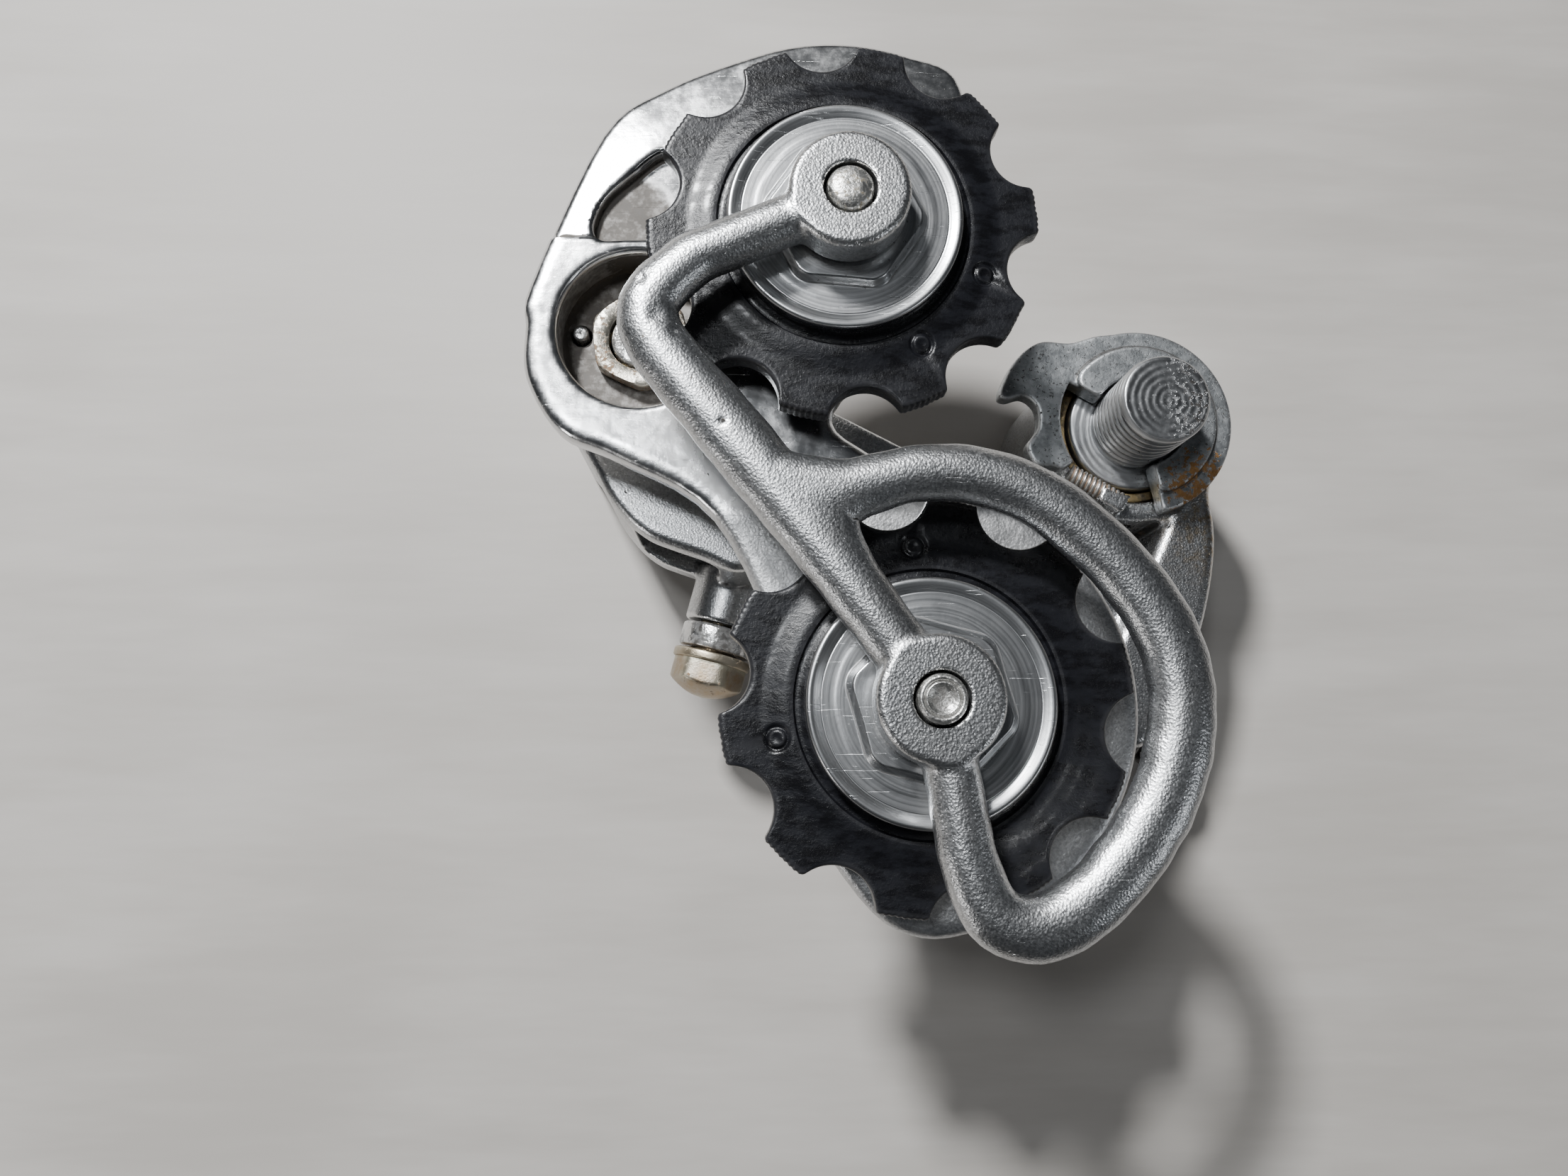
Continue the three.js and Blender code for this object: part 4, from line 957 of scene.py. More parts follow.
def adjuster_shell():
    """Rows round the barrel's axis. On the head the radius falls in ten even flutes:
    r(t) = R - d (0.5 + 0.5 cos 10 t)^3."""
    t = np.linspace(0, TAU, 240, endpoint=False)
    shank = threaded(ADJUSTER_START, ADJUSTER_HEAD, 2.4, 0.9, 0.18, closed_top=False)
    shank = shank[:, np.linspace(0, shank.shape[1], 240, endpoint=False).astype(int)]
    head = softened([(2.4, ADJUSTER_HEAD), (3.55, ADJUSTER_HEAD), (3.55, ADJUSTER_END),
                     (1.0, ADJUSTER_END), (0.9, ADJUSTER_END - 5), (0, ADJUSTER_END - 5)], 0.4)
    r, z = head.T[:, :, None]
    flute = 0.38 * (0.5 + 0.5 * np.cos(10 * t)) ** 3 * np.clip((r - 2.6) / 0.6, 0, 1)
    rows = np.stack([(r - flute) * np.cos(t), (r - flute) * np.sin(t), z + 0 * t], -1)
    return skin(np.concatenate([shank, rows]))


def black_resin(name, wet=0.5):
    """Black moulded resin, scuffed grey on its edges and wet with dark chain grease."""
    finish = Finish(name)
    worn, crease = finish.edges()
    smear = finish.noise(3.0, 5, 0.65, finish.stretched((0, 0, 0.5), (1, 2.4, 1)))
    wrinkle = finish.noise(0.7, 5, 0.7)
    fine = finish.noise(0.22, 3, 0.7)
    wetness = finish.ramp(smear, 0.40, 0.62)
    dust = finish.ramp(finish.noise(0.4, 4, 0.7), 0.62, 0.74) * finish.ramp(smear, 0.5, 0.35)
    tone = finish.mix(wetness, (0.009, 0.0095, 0.012), (0.004, 0.004, 0.005))
    tone = finish.mix(worn * 0.18 + dust * 0.12, tone, (0.09, 0.09, 0.095))
    height = wrinkle * 0.9 + fine * 0.35 + wetness * 0.25
    return finish.set(
        Base_Color=tone,
        Metallic=0.0,
        Roughness=(0.28 - wetness * 0.06 + fine * 0.10) + dust * 0.1,
        Specular_IOR_Level=0.35,
        Coat_Weight=wetness * wet * 0.4,
        Coat_Roughness=0.12,
        Normal=finish.bump(height, 0.05),
    ).material


piece("cable_adjuster", "cable_adjuster", black_resin("adjuster_resin", 0.2),
      set_on(adjuster_shell(), in_plan((0, *ADJUSTER_LINE), UPPER_PINS), LINK_AXIS))
piece("adjuster_spring", "upper_knuckle", greasy_spring,
      set_on(coil(3.6, 0.7, 12.9, 15.7, 2.0), in_plan((0, *ADJUSTER_LINE), UPPER_PINS), LINK_AXIS))

# ---- Parallelogram links ------------------------------------------------------------------------
# Two forged aluminium links, forked at both ends. The outer one has a polished crowned back, and
# the inner one is opened out in the middle. Each turns on a bright steel pin at either end.

LINK_LENGTH, LINK_ANGLE = 42.02, math.radians(10.0)
LINK_HALF, LINK_WIDTH, EAR_ROOM, SLOT_ROOM = 2.8, 14.0, 4.4, 4.4
CROWN = 1.9


def link_place(x, y, z, level):
    """A point's place in a level link: along it from the upper pin, along the pin, and up."""
    u, v = along_links(x, y, UPPER_PINS)
    w = z - level
    return u * math.cos(LINK_ANGLE) - w * math.sin(LINK_ANGLE), v, \
        u * math.sin(LINK_ANGLE) + w * math.cos(LINK_ANGLE)


def link_solid(a, v, w):
    """A bar with round ends, slotted for the lugs and drilled for the pins."""
    wall = np.hypot(a - np.clip(a, -LINK_LENGTH, 0), w) - LINK_HALF
    made = slab(wall, v, -LINK_WIDTH / 2, LINK_WIDTH / 2, 0.7)
    for slot in ((-EAR_ROOM, 9), (-LINK_LENGTH - 9, -LINK_LENGTH + EAR_ROOM)):
        made = less(made, box_wall(a, v, slot, (-SLOT_ROOM, SLOT_ROOM), 0.8), 0.4)
    return made


def drilled(made, a, w):
    for pin in (0, -LINK_LENGTH):
        made = less(made, ring(a, w, (pin, 0), PIN_HOLE), 0.25)
    return made


def outer_link_solid(x, y, z):
    a, v, w = link_place(x, y, z, UPPER_LEVELS[1])
    half_span = LINK_LENGTH / 2 - EAR_ROOM
    arch = CROWN * np.sqrt(np.clip(1 - ((a + LINK_LENGTH / 2) / half_span) ** 2, 0, 1))
    arch = arch * (1 - 0.35 * (v / (LINK_WIDTH / 2)) ** 2)
    half = LINK_WIDTH / 2
    back_wall = box_wall(a, v, (-LINK_LENGTH + EAR_ROOM, -EAR_ROOM), (-half, half), 1.5)
    back = slab(back_wall, w, -LINK_HALF - arch, 0, 0.8)
    return drilled(together(link_solid(a, v, w), back, 0.8), a, w)


def inner_link_solid(x, y, z):
    a, v, w = link_place(x, y, z, UPPER_LEVELS[0])
    opening = box_wall(a, v, (-LINK_LENGTH + 11, -11), (-3.6, 3.6), 2.0)
    return drilled(less(link_solid(a, v, w), opening, 0.6), a, w)


def polished_alloy(name, blasted_below=None, sunk=()):
    """Polished aluminium with soft ripples, hair-fine rubbing marks and grey bloom, and dirt and
    painted shade in its creases. Below the level blasted_below along Y its skin is left as it was
    blasted.
    Each sunk place is (x, y, reach, level): below that level there, painted shade and dark dirt
    fill it."""
    finish = Finish(name)
    worn, crease = finish.edges()
    cloud = finish.noise(6, 5, 0.6)
    haze = finish.ramp(finish.noise(2.2, 5, 0.7), 0.35, 0.75)
    rub = finish.noise(1, 3, 0.6, finish.stretched((0, 0, 0.9), (0.12, 3.0, 1.0)))
    marks = finish.noise(1, 2, 0.5, finish.stretched((0, 0, 2.0), (0.10, 5.0, 2.0)))
    scratch = finish.ramp(marks, 0.69, 0.73) + finish.ramp(rub, 0.72, 0.76)
    specks = finish.ramp(finish.noise(0.45, 3, 0.7), 0.68, 0.71)
    specks = specks * finish.ramp(finish.noise(5), 0.45, 0.6)
    # Dirt and painted shade: creases darken by their depth as painted shade, and specks add dirt.
    grime_and_shade = finish.ramp(crease * 1.3 + specks, 0.2, 0.95)
    flat = finish.flat()
    blotch = finish.noise(1.1, 4, 0.65)
    # Painted shade with some dirt: each hollow goes dark below its level, where shade falls in the
    # pocket and recess.
    for x, y, reach, level in sunk:
        away = finish.distance(flat, (x, y, 0)) + blotch * 1.5 * MM
        hollow_shade_and_dirt = finish.ramp(away, (reach + 1) * MM, (reach - 0.6) * MM)
        hollow_shade_and_dirt = hollow_shade_and_dirt * finish.ramp(finish.part("Z"), level * MM, (level - 0.5) * MM)
        grime_and_shade = grime_and_shade + hollow_shade_and_dirt * finish.ramp(blotch, 0.72, 0.42, 0.75, 1.0)
    grime_and_shade = grime_and_shade.at_most(1)
    tone = finish.mix(cloud, (0.70, 0.71, 0.72), (0.86, 0.865, 0.87))
    tone = finish.mix(haze * 0.3, tone, (0.56, 0.56, 0.55))
    roughness = (0.17 + haze * 0.13 + cloud * 0.05) - worn * 0.05 + grime_and_shade * 0.4
    height = finish.noise(3.2, 2) * 2.2 + rub * 0.14 - scratch * 0.35 + haze * 0.25
    if blasted_below is not None:
        level, soft = finish.part("Y") + cloud * 2 * MM, blasted_below * MM
        matt = finish.ramp(level, soft + 1.6 * MM, soft - 0.6 * MM)
        grit = finish.noise(0.3, 3, 0.7)
        grainy = finish.mix(finish.ramp(grit, 0.3, 0.7), (0.50, 0.505, 0.51), (0.74, 0.745, 0.75))
        tone = finish.mix(matt, tone, grainy)
        roughness = roughness + matt * 0.2
        height = height + matt * (grit * 0.9 + finish.cells(0.28) * 0.6)
    # The near-black to brown colour of the dirt and of the painted shade in creases and hollows.
    soil_and_shade = finish.mix(blotch, (0.014, 0.013, 0.012), (0.10, 0.072, 0.042))
    return finish.set(
        Base_Color=finish.mix(grime_and_shade * 0.9, tone, soil_and_shade),
        Metallic=1 - grime_and_shade * 0.7,
        Roughness=roughness,
        Normal=finish.bump(height, 0.03),
    ).material


piece("outer_link", "outer_link", polished_alloy("link_polish"),
      cast(outer_link_solid, "outer_link", 0.3))
piece("inner_link", "inner_link", blasted_alloy("link_alloy"),
      cast(inner_link_solid, "inner_link", 0.3))


def pin_shell(low, high, radius=1.5):
    """A plain rod whose ends are eased."""
    return skin(turned(softened([(0, low), (radius, low), (radius, high), (0, high)], 0.3), 60))


bright_pin = greasy("bright_pin", (0.80, 0.80, 0.79), (0.60, 0.60, 0.59), wet=0.18)
PIN_RUNS = {
    "upper_outer_pin": ("upper_knuckle", UPPER_PINS, UPPER_LEVELS[1], -7.2, 7.2),
    "upper_inner_pin": ("upper_knuckle", UPPER_PINS, UPPER_LEVELS[0], -7.2, 7.2),
    "lower_outer_pin": ("lower_knuckle", LOWER_PINS, LOWER_LEVELS[1], -7.2, 7.2),
    "lower_inner_pin": ("lower_knuckle", LOWER_PINS, LOWER_LEVELS[0], -14.0, 7.2),
}
for pin_name, (pin_body, pins, level, low, high) in PIN_RUNS.items():
    piece(pin_name, pin_body, bright_pin,
          set_on(pin_shell(low, high), in_plan((0, 0, level), pins), PIN_AXIS))

# ---- Lower knuckle ------------------------------------------------------------------------------
# The other cast aluminium body: a barrel for the cage's pivot and spring, a thin-walled housing
# with a window on the return spring, a lug for the links' lower pins, and a boss for the clamp.

PIVOT = middle_of("cage_pivot_bolt")[:2]
LOWER_BARREL = (10.9, -25.0, 4.7)
HOUSING_LEVELS = (-14.0, 4.7)
HOUSING_WALL = 2.25
HOUSING = [
    (-4.8, -13.4), (-2.1, -17.4), (0.5, -19.6), (3.1, -20.7), (6.6, -21.9), (10.1, -23.3),
    (13.4, -21.8), (14, -17), (9, -8), (0, 0), (-8, -5),
]
HOUSING_OUTLINE = through(np.array(HOUSING) + PIVOT, 5)
HOUSING_ROOM = (-11.5, 3.5)
WINDOW_PLACE, WINDOW_TURN = (4.2, -19.6), math.radians(-22)
WINDOW_SIDE, WINDOW_LEVELS = ((-5.6, 4.6), (-6, 3)), (-9.5, 2.5)
CLAMP_START = np.array((-46.421, -15.502, -9.7))
CLAMP_RUN = np.array((*polar((0, 0), 1, -104.5), 0))
CLAMP_RADIUS, CLAMP_SEAT = 4.3, 7.8
NECK_REACH = -6.4


def along_line(x, y, z, start, run):
    """Distance along a level line, and distance from it."""
    dx, dy = x - start[0], y - start[1]
    return dx * run[0] + dy * run[1], np.hypot(dy * run[0] - dx * run[1], z - start[2])


def lower_knuckle_solid(x, y, z):
    radius, low, high = LOWER_BARREL
    r = ring(x, y, PIVOT, 0)
    u, v = along_links(x, y, LOWER_PINS)
    wall = sides(x, y, HOUSING_OUTLINE)
    shell = slab(wall, z, *HOUSING_LEVELS, 1.1)
    link_room = np.maximum(np.maximum(-3.7 - u, u - 24), -7.7 - v)
    shell = less(shell, link_room, 0.4)
    shell = less(shell, slab(wall + HOUSING_WALL, z, *HOUSING_ROOM, 0.6), 0.3)
    wx, wy = x - PIVOT[0] - WINDOW_PLACE[0], y - PIVOT[1] - WINDOW_PLACE[1]
    turned_x = wx * math.cos(WINDOW_TURN) + wy * math.sin(WINDOW_TURN)
    turned_y = wy * math.cos(WINDOW_TURN) - wx * math.sin(WINDOW_TURN)
    through_wall = box_wall(turned_x, z, WINDOW_SIDE[0], WINDOW_LEVELS, 1.2)
    shell = less(shell, np.maximum(through_wall, np.abs(turned_y + 1.5) - 4.5), 0.5)
    made = together(slab(r - radius, z, low, high, 0.9), shell, 1.0)
    made = together(made, lug_solid(u, v, z, LOWER_LEVELS, NECK_REACH), 1.0)
    along, away = along_line(x, y, z, CLAMP_START, CLAMP_RUN)
    made = together(made, slab(away - CLAMP_RADIUS, along, 1, CLAMP_SEAT, 0.4), 0.8)
    for bore, floor, roof in ((8.6, -14.7, 9), (3.3, -60, 9), (7.5, -60, -21.2)):
        made = less(made, np.maximum(r - bore, np.maximum(floor - z, z - roof)), 0.3)
    made = less(made, np.maximum(away - 2.7, np.maximum(-0.5 - along, along - 12)), 0.25)
    for level in LOWER_LEVELS:
        made = less(made, np.maximum(ring(u, z, (0, level), PIN_HOLE), np.abs(v) - 8), 0.25)
    from_pin = ring(u, z, (0, LOWER_LEVELS[0]), 0)
    made = less(made, np.maximum(from_pin - 1.8, np.maximum(v, -14.3 - v)), 0.2)
    return less(made, np.maximum(from_pin - 3.5, np.maximum(v + 7.5, -12.6 - v)), 0.2)


piece("lower_knuckle", "lower_knuckle", blasted_alloy("housing_alloy", grain=0.55),
      cast(lower_knuckle_solid, "lower_knuckle", 0.3))
piece("return_spring", "lower_knuckle", greasy_spring,
      set_on(coil(3.2, 1.1, 8.5, 12.3, 3.0), in_plan((0, 0, LOWER_LEVELS[0]), LOWER_PINS),
             [-c for c in PIN_AXIS]))

# ---- Cable clamp --------------------------------------------------------------------------------
# A thick bright washer that traps the cable, under a flanged bolt with a domed hexagon head whose
# plating has gone golden.

WASHER_LEVELS = (8.1, 11.0)
FLANGE_RADIUS, FLANGE_LEVELS = 4.6, (11.3, 12.4)
CLAMP_FLATS, CLAMP_HEAD_TOP, CLAMP_DOME_TOP = 8.0, 15.6, 16.5


def clamp_bolt_shell():
    """Rows round the bolt's axis: a threaded shank, a round flange, then a hexagon whose radius
    fades into a circle as it nears the dome."""
    shank = threaded(0.5, FLANGE_LEVELS[0], 2.4, 0.8, 0.25, closed_top=False)
    t = np.linspace(0, TAU, shank.shape[1], endpoint=False)
    flange = turned(softened([(2.4, FLANGE_LEVELS[0]), (FLANGE_RADIUS, FLANGE_LEVELS[0]),
                              (FLANGE_RADIUS, FLANGE_LEVELS[1]),
                              (CLAMP_FLATS / 2, FLANGE_LEVELS[1])],
                             0.35), len(t))
    z = np.concatenate([np.linspace(FLANGE_LEVELS[1], CLAMP_HEAD_TOP - 0.9, 8),
                        np.linspace(CLAMP_HEAD_TOP - 0.8, CLAMP_DOME_TOP, 16)])[:, None]
    share = np.clip((CLAMP_DOME_TOP - z) / (CLAMP_DOME_TOP - CLAMP_HEAD_TOP + 1.0), 0, 1)
    limit = (CLAMP_FLATS / math.sqrt(3)) * np.sqrt(share)
    side = hexed(CLAMP_FLATS, t)[None]
    r = -np.logaddexp(-side * 8, -limit * 8) / 8
    r = np.where(share <= 0, 0, np.clip(r, 0, None))
    head = np.stack([r * np.cos(t), r * np.sin(t), z + 0 * t], -1)
    return skin(np.concatenate([shank, flange, head]))


bright_washer = greasy("bright_washer", (0.86, 0.86, 0.85), (0.70, 0.70, 0.70), wet=0.14)
piece("cable_clamp_washer", "lower_knuckle", bright_washer,
      set_on(sleeve(2.7, CLAMP_RADIUS, *WASHER_LEVELS, ease=0.45), CLAMP_START, CLAMP_RUN))
piece("cable_clamp_bolt", "cable_clamp_bolt",
      rusty_steel("golden_plating", gold=1.0),
      set_on(clamp_bolt_shell(), CLAMP_START, CLAMP_RUN, turn=0.35))

# ---- Cage pivot ---------------------------------------------------------------------------------
# A bolt with a wide socket head comes up through the lower knuckle, a bush and the cage's sprung
# housing, and is held by a thin nut that has begun to rust. A peg holds the spring's end.

NUT_FLATS, NUT_TURN = 9.5, math.radians(5)
pivot_low, pivot_high = span_of("cage_pivot_bolt")
nut_low, nut_high = span_of("cage_pivot_nut")


def pivot_bolt_shell():
    """Rows round the pivot: a hexagon socket in a wide flat head, a plain shank, an eased end."""
    t = np.linspace(0, TAU, ROUND, endpoint=False)
    depth = np.array([2.6, 2.6, 0.3, 0])[:, None]
    reach = np.array([0, 1, 1, 1.03])[:, None] * hexed(6.0, t)
    socket = np.stack([reach * np.cos(t), reach * np.sin(t), pivot_low + depth + 0 * t], -1)
    under = pivot_low + 3.2
    body = softened([(4.4, pivot_low), (7.2, pivot_low), (7.2, under), (3, under),
                     (3, pivot_high), (0, pivot_high)], 0.5)
    return skin(np.concatenate([socket, turned(body)]))


def nut_shell(flats, bore, low, high):
    """A hexagon whose corners are cut back by a cone at either face: r is the lesser of the
    hexagon's radius and the cone's."""
    t = np.linspace(0, TAU, ROUND, endpoint=False)
    z = np.concatenate([[low, low], np.linspace(low, high, 14), [high, high]])[:, None]
    cone = flats / 2 + 0.15 + np.minimum(z - low, high - z) * 1.9
    r = -np.logaddexp(-hexed(flats, t) * 14, -cone * 14) / 14
    r[:2] = np.array([bore, bore + 0.5])[:, None]
    r[-2:] = np.array([bore + 0.5, bore])[:, None]
    z[0], z[-1] = low + 0.35, high - 0.35
    return skin(np.stack([r * np.cos(t), r * np.sin(t), z + 0 * t], -1), close_rows=True)


piece("cage_pivot_bolt", "cage", bright_pin,
      set_on(pivot_bolt_shell(), (*PIVOT, 0)))
piece("cage_pivot_nut", "cage", rusty_steel("nut_plating", gold=0.5, rusted=0.09),
      set_on(nut_shell(NUT_FLATS, 3.3, nut_low, nut_high), (*PIVOT, 0), turn=NUT_TURN))
piece("cage_bush", "cage", greasy_bronze,
      set_on(sleeve(3.3, 4.3, *span_of("cage_bush")), (*PIVOT, 0)))
piece("cage_spring", "lower_knuckle", greasy_spring,
      set_on(coil(8.3, 1.8, *span_of("cage_spring"), 5.0), (*PIVOT, 0)))
peg_low, peg_high = span_of("spring_peg")
peg_profile = softened([(0, peg_low), (0.8, peg_low), (0.8, peg_high), (0, peg_high)], 0.3)
piece("spring_peg", "cage", bright_pin,
      set_on(skin(turned(peg_profile, 40)), (*middle_of("spring_peg")[:2], 0)))

# ---- Outer cage plate ---------------------------------------------------------------------------
# One aluminium casting: a plate that carries both pulleys' axles, and under it the housing of the
# cage's spring. It is polished round the pivot and the guide pulley, and blasted behind the other.

GUIDE, TENSION = middle_of("guide_axle")[:2], middle_of("tension_axle")[:2]
PLATE_LEVELS = (11.8, 14.6)
HOUSING_RADIUS, HOUSING_LOW = 10.9, 5.0
POCKET_RADIUS, POCKET_LEVEL = 8.2, 9.6
CHAMBER = (8.6, 7.0)
AXLE_HOLE = 2.5
RECESS_LEVEL = 12.75
RECESS = through(np.array([
    (-4.8, 11.2), (-3.6, 14.2), (-0.7, 17), (2.2, 19.2), (4.8, 18.4),
    (5.6, 15.2), (4.2, 11.6), (2.2, 9.8), (-1.6, 9.5), (-4, 9.5),
]) + PIVOT, 4)
GUIDE_EDGE, TENSION_EDGE, HUB = 24.3, 21.8, 15.6
PLATE = through(
    [polar(GUIDE, GUIDE_EDGE, a) for a in np.linspace(58, 112, 5)]
    + [polar(GUIDE, GUIDE_EDGE + 1.6, 134), polar(GUIDE, GUIDE_EDGE + 3.6, 152)]
    + [polar(PIVOT, HOUSING_RADIUS + reach, a) for reach, a in
       ((1.1, 158), (0.5, 178), (1.4, 205), (2.4, 235), (2.8, 262))]
    + [polar(TENSION, TENSION_EDGE + 5.5, 137), polar(TENSION, 0.92 * HUB, 160),
       polar(TENSION, 0.92 * HUB, 205), polar(TENSION, TENSION_EDGE - 2.8, 252)]
    + [polar(TENSION, TENSION_EDGE, a) for a in np.linspace(270, 440, 10)]
    + [polar(TENSION, TENSION_EDGE + 4, 100), polar(GUIDE, 0.95 * HUB + 2, -92),
       polar(GUIDE, 0.7 * HUB, -45), polar(GUIDE, 0.85 * HUB, 5),
       polar(GUIDE, GUIDE_EDGE - 5.6, 40)], 5)
SEAM = 9.7  # above the pivot: the polished face steps down here
CREST_DROP, RIM_DROP = 0.85, 0.35


def plate_top(x, y, wall):
    """The level of the polished face. Above the seam it rolls off towards its outer edge, and
    below it stays flat to a narrow rim."""
    within = -wall
    above = np.clip((y - PIVOT[1] - SEAM) / 0.35 + 0.5, 0, 1)
    rolled = CREST_DROP * np.clip(1 - within / 7.5, 0, 1) ** 1.6 + 0.14
    rimmed = RIM_DROP * np.clip(1 - within / 1.8, 0, 1) ** 2
    return PLATE_LEVELS[1] - rolled * above - rimmed * (1 - above)


def plate_solid(x, y, z):
    wall = sides(x, y, PLATE)
    top = plate_top(x, y, wall)
    face = rounded(wall, z - top, 0.75)
    made = np.maximum(face, slab(wall, z, PLATE_LEVELS[0], PLATE_LEVELS[1] + 3, 0.5))
    r = ring(x, y, PIVOT, 0)
    made = together(made, slab(r - HOUSING_RADIUS, z, HOUSING_LOW, PLATE_LEVELS[1] - 1, 0.7), 0.8)
    recess_floor = RECESS_LEVEL + 0.04 * (y - PIVOT[1] - 14)
    made = less(made, np.maximum(sides(x, y, RECESS), recess_floor - z), 0.6)
    made = less(made, np.maximum(r - POCKET_RADIUS, POCKET_LEVEL - z), 0.8)
    made = less(made, r - 4.6, 0.3)
    made = less(made, np.maximum(r - CHAMBER[0], z - CHAMBER[1]), 0.3)
    made = less(made, ring(x, y, middle_of("spring_peg"), 1.1), 0.2)
    for axis in (GUIDE, TENSION):
        made = less(made, ring(x, y, axis, AXLE_HOLE), 0.25)
    return made


# The pivot's pocket and the recess above it, painted dark below these levels as shade with dirt.
SHADED_HOLLOWS = ((*PIVOT, 9.0, 13.7), (PIVOT[0] - 1.4, PIVOT[1] + 12.4, 5.4, 13.8))
piece("outer_cage_plate", "cage",
      polished_alloy("plate_polish", blasted_below=-14, sunk=SHADED_HOLLOWS),
      cast(plate_solid, "outer_cage_plate", 0.33))

# ---- Inner cage ---------------------------------------------------------------------------------
# One forged aluminium bar with a blasted skin. From the guide pulley's boss it runs round an elbow
# to the tension pulley's boss, and a loop leaves it, passes round the pulley and comes back.

BAR_HALF_HEIGHT = 2.1
BAR_FULLNESS = 2.05  # 2 is an oval section, and more is squarer
BOSS_RADIUS, BOSS_HEIGHT, BOSS_EDGE = 5.7, 4.1, 0.75
boss_top = span_of("inner_cage")[1]
BAR_MIDDLE = boss_top - 0.2 - BAR_HALF_HEIGHT
FROM_PIVOT, FROM_TENSION = np.array((*PIVOT, 0)), np.array((*TENSION, 0))
ELBOW = through([  # across, along, and how wide the bar is there
    (*GUIDE, 4.9), *(FROM_PIVOT + np.array([
        (15.2, 6.3, 4.8), (9.1, 3.6, 4.8), (5.7, 1.9, 5.0), (2.5, -1.4, 5.5), (2.1, -3.7, 5.8),
        (3.1, -6.1, 5.9), (5.6, -9.4, 6.0), (9, -13.4, 6.2)])),
    *(FROM_TENSION + np.array([(-12.5, 17, 6.2), (-6.4, 8.9, 5.6), (0, 0, 5.4)]))], 5, closed=False)
LOOP = through(FROM_TENSION + np.array([
    (-14.5, 20, 5.3), (-11.6, 19.2, 5.3), (-8.1, 18.9, 5.3), (-4.9, 19.5, 5.2), (-1.1, 20.3, 5.2),
    (2.9, 20.3, 5.3), (7.2, 19.2, 5.4), (11.1, 17, 5.5), (15.1, 13.5, 5.6), (18.3, 9.6, 5.7),
    (20.5, 5.6, 5.8), (21.5, 1.1, 5.9), (21.1, -3.6, 6.0), (19.5, -8.3, 6.0), (16.9, -12.5, 6.0),
    (13.8, -16, 5.9), (10.6, -18.4, 5.9), (7.2, -19.3, 5.8), (4.3, -18, 5.4), (2.5, -14.2, 5.1),
    (1.7, -10.1, 5.0), (1.1, -6.3, 5.0), (0, 0, 5.0)]), 4, closed=False)
WEB = 2.2  # how far from the crotch the two bars' webs reach, in half widths
DENTS = ((-53.6, 0.6, 1.3), (-51.8, -0.9, 0.9), (-54.9, 3.9, 0.8), (-47.6, -9.3, 0.7))


def inner_cage_solid(x, y, z):
    first, first_x, first_y = route(x, y, ELBOW)
    second, second_x, second_y = route(x, y, LOOP)
    facing = (1 - first_x * second_x - first_y * second_y) / 2
    share = np.clip(1 - np.abs(first - second) / WEB, 0, 1)
    off = np.maximum(np.minimum(first, second) - WEB / 4 * share**2 * facing**2, 0)
    uneven = 0.024 * np.sin(0.9 * x + 1.3 * y) * np.sin(0.7 * y - 0.5 * x + 1)
    reach = 1 + uneven - 0.02 + 0.03 * np.exp(-(((z - BAR_MIDDLE + 0.7) / 0.22) ** 2))
    p = BAR_FULLNESS
    section = (off / reach) ** p + (np.abs(z - BAR_MIDDLE) / BAR_HALF_HEIGHT) ** p
    made = (np.maximum(section, 1e-6) ** (1 / p) - 1) * BAR_HALF_HEIGHT
    for dent_x, dent_y, size in DENTS:
        away = ((x - dent_x) ** 2 + (y - dent_y) ** 2) / (0.3 * size**2)
        made = made + 0.16 * np.exp(-away) * (z > BAR_MIDDLE)
    for axis in (GUIDE, TENSION):
        boss = slab(ring(x, y, axis, BOSS_RADIUS), z, boss_top - BOSS_HEIGHT, boss_top, BOSS_EDGE)
        made = together(made, boss, 0.7)
    for axis in (GUIDE, TENSION):
        made = less(made, ring(x, y, axis, AXLE_HOLE), 0.2)
    return made


CLUMPS = ((-41.3, -11.4, 3.0), (-35.1, 17.9, 2.6), (-57.2, 4.5, 5.5), (-47.6, -7.0, 3.0),
          (-40.7, -19.1, 1.6))
piece("inner_cage", "cage", blasted_alloy("cage_alloy", clumps=CLUMPS),
      cast(inner_cage_solid, "inner_cage", 0.25))

# ---- Jockey pulleys -----------------------------------------------------------------------------
# Two ten-tooth pulleys moulded in black resin, with broad flat-topped teeth worn ragged by the
# chain. Round marks from the mould's pins lie near the rim, and a groove runs round each shield.

TEETH, TIP_RADIUS, PITCH_RADIUS, ROLLER_RADIUS = 10, 19.4, 20.55, 3.95
PULLEY_BORE = 3.9
hub_low, hub_high = span_of("guide_pulley")


def tooth_line(t):
    """Radius of the outline: the tip circle, cut by rollers on the pitch circle, where the ray
    at an angle d from a roller meets it at p cos d - sqrt(q^2 - p^2 sin^2 d)."""
    d = (t + math.pi / TEETH) % (TAU / TEETH) - math.pi / TEETH
    d = math.pi / TEETH - np.abs(d)
    bite = np.clip(ROLLER_RADIUS**2 - (PITCH_RADIUS * np.sin(d)) ** 2, 0, None)
    valley = np.where(bite > 0, PITCH_RADIUS * np.cos(d) - np.sqrt(bite), TIP_RADIUS + 2)
    return -np.logaddexp(-TIP_RADIUS * 5, -valley * 5) / 5


def hump(x):
    return np.exp(-(x**2))


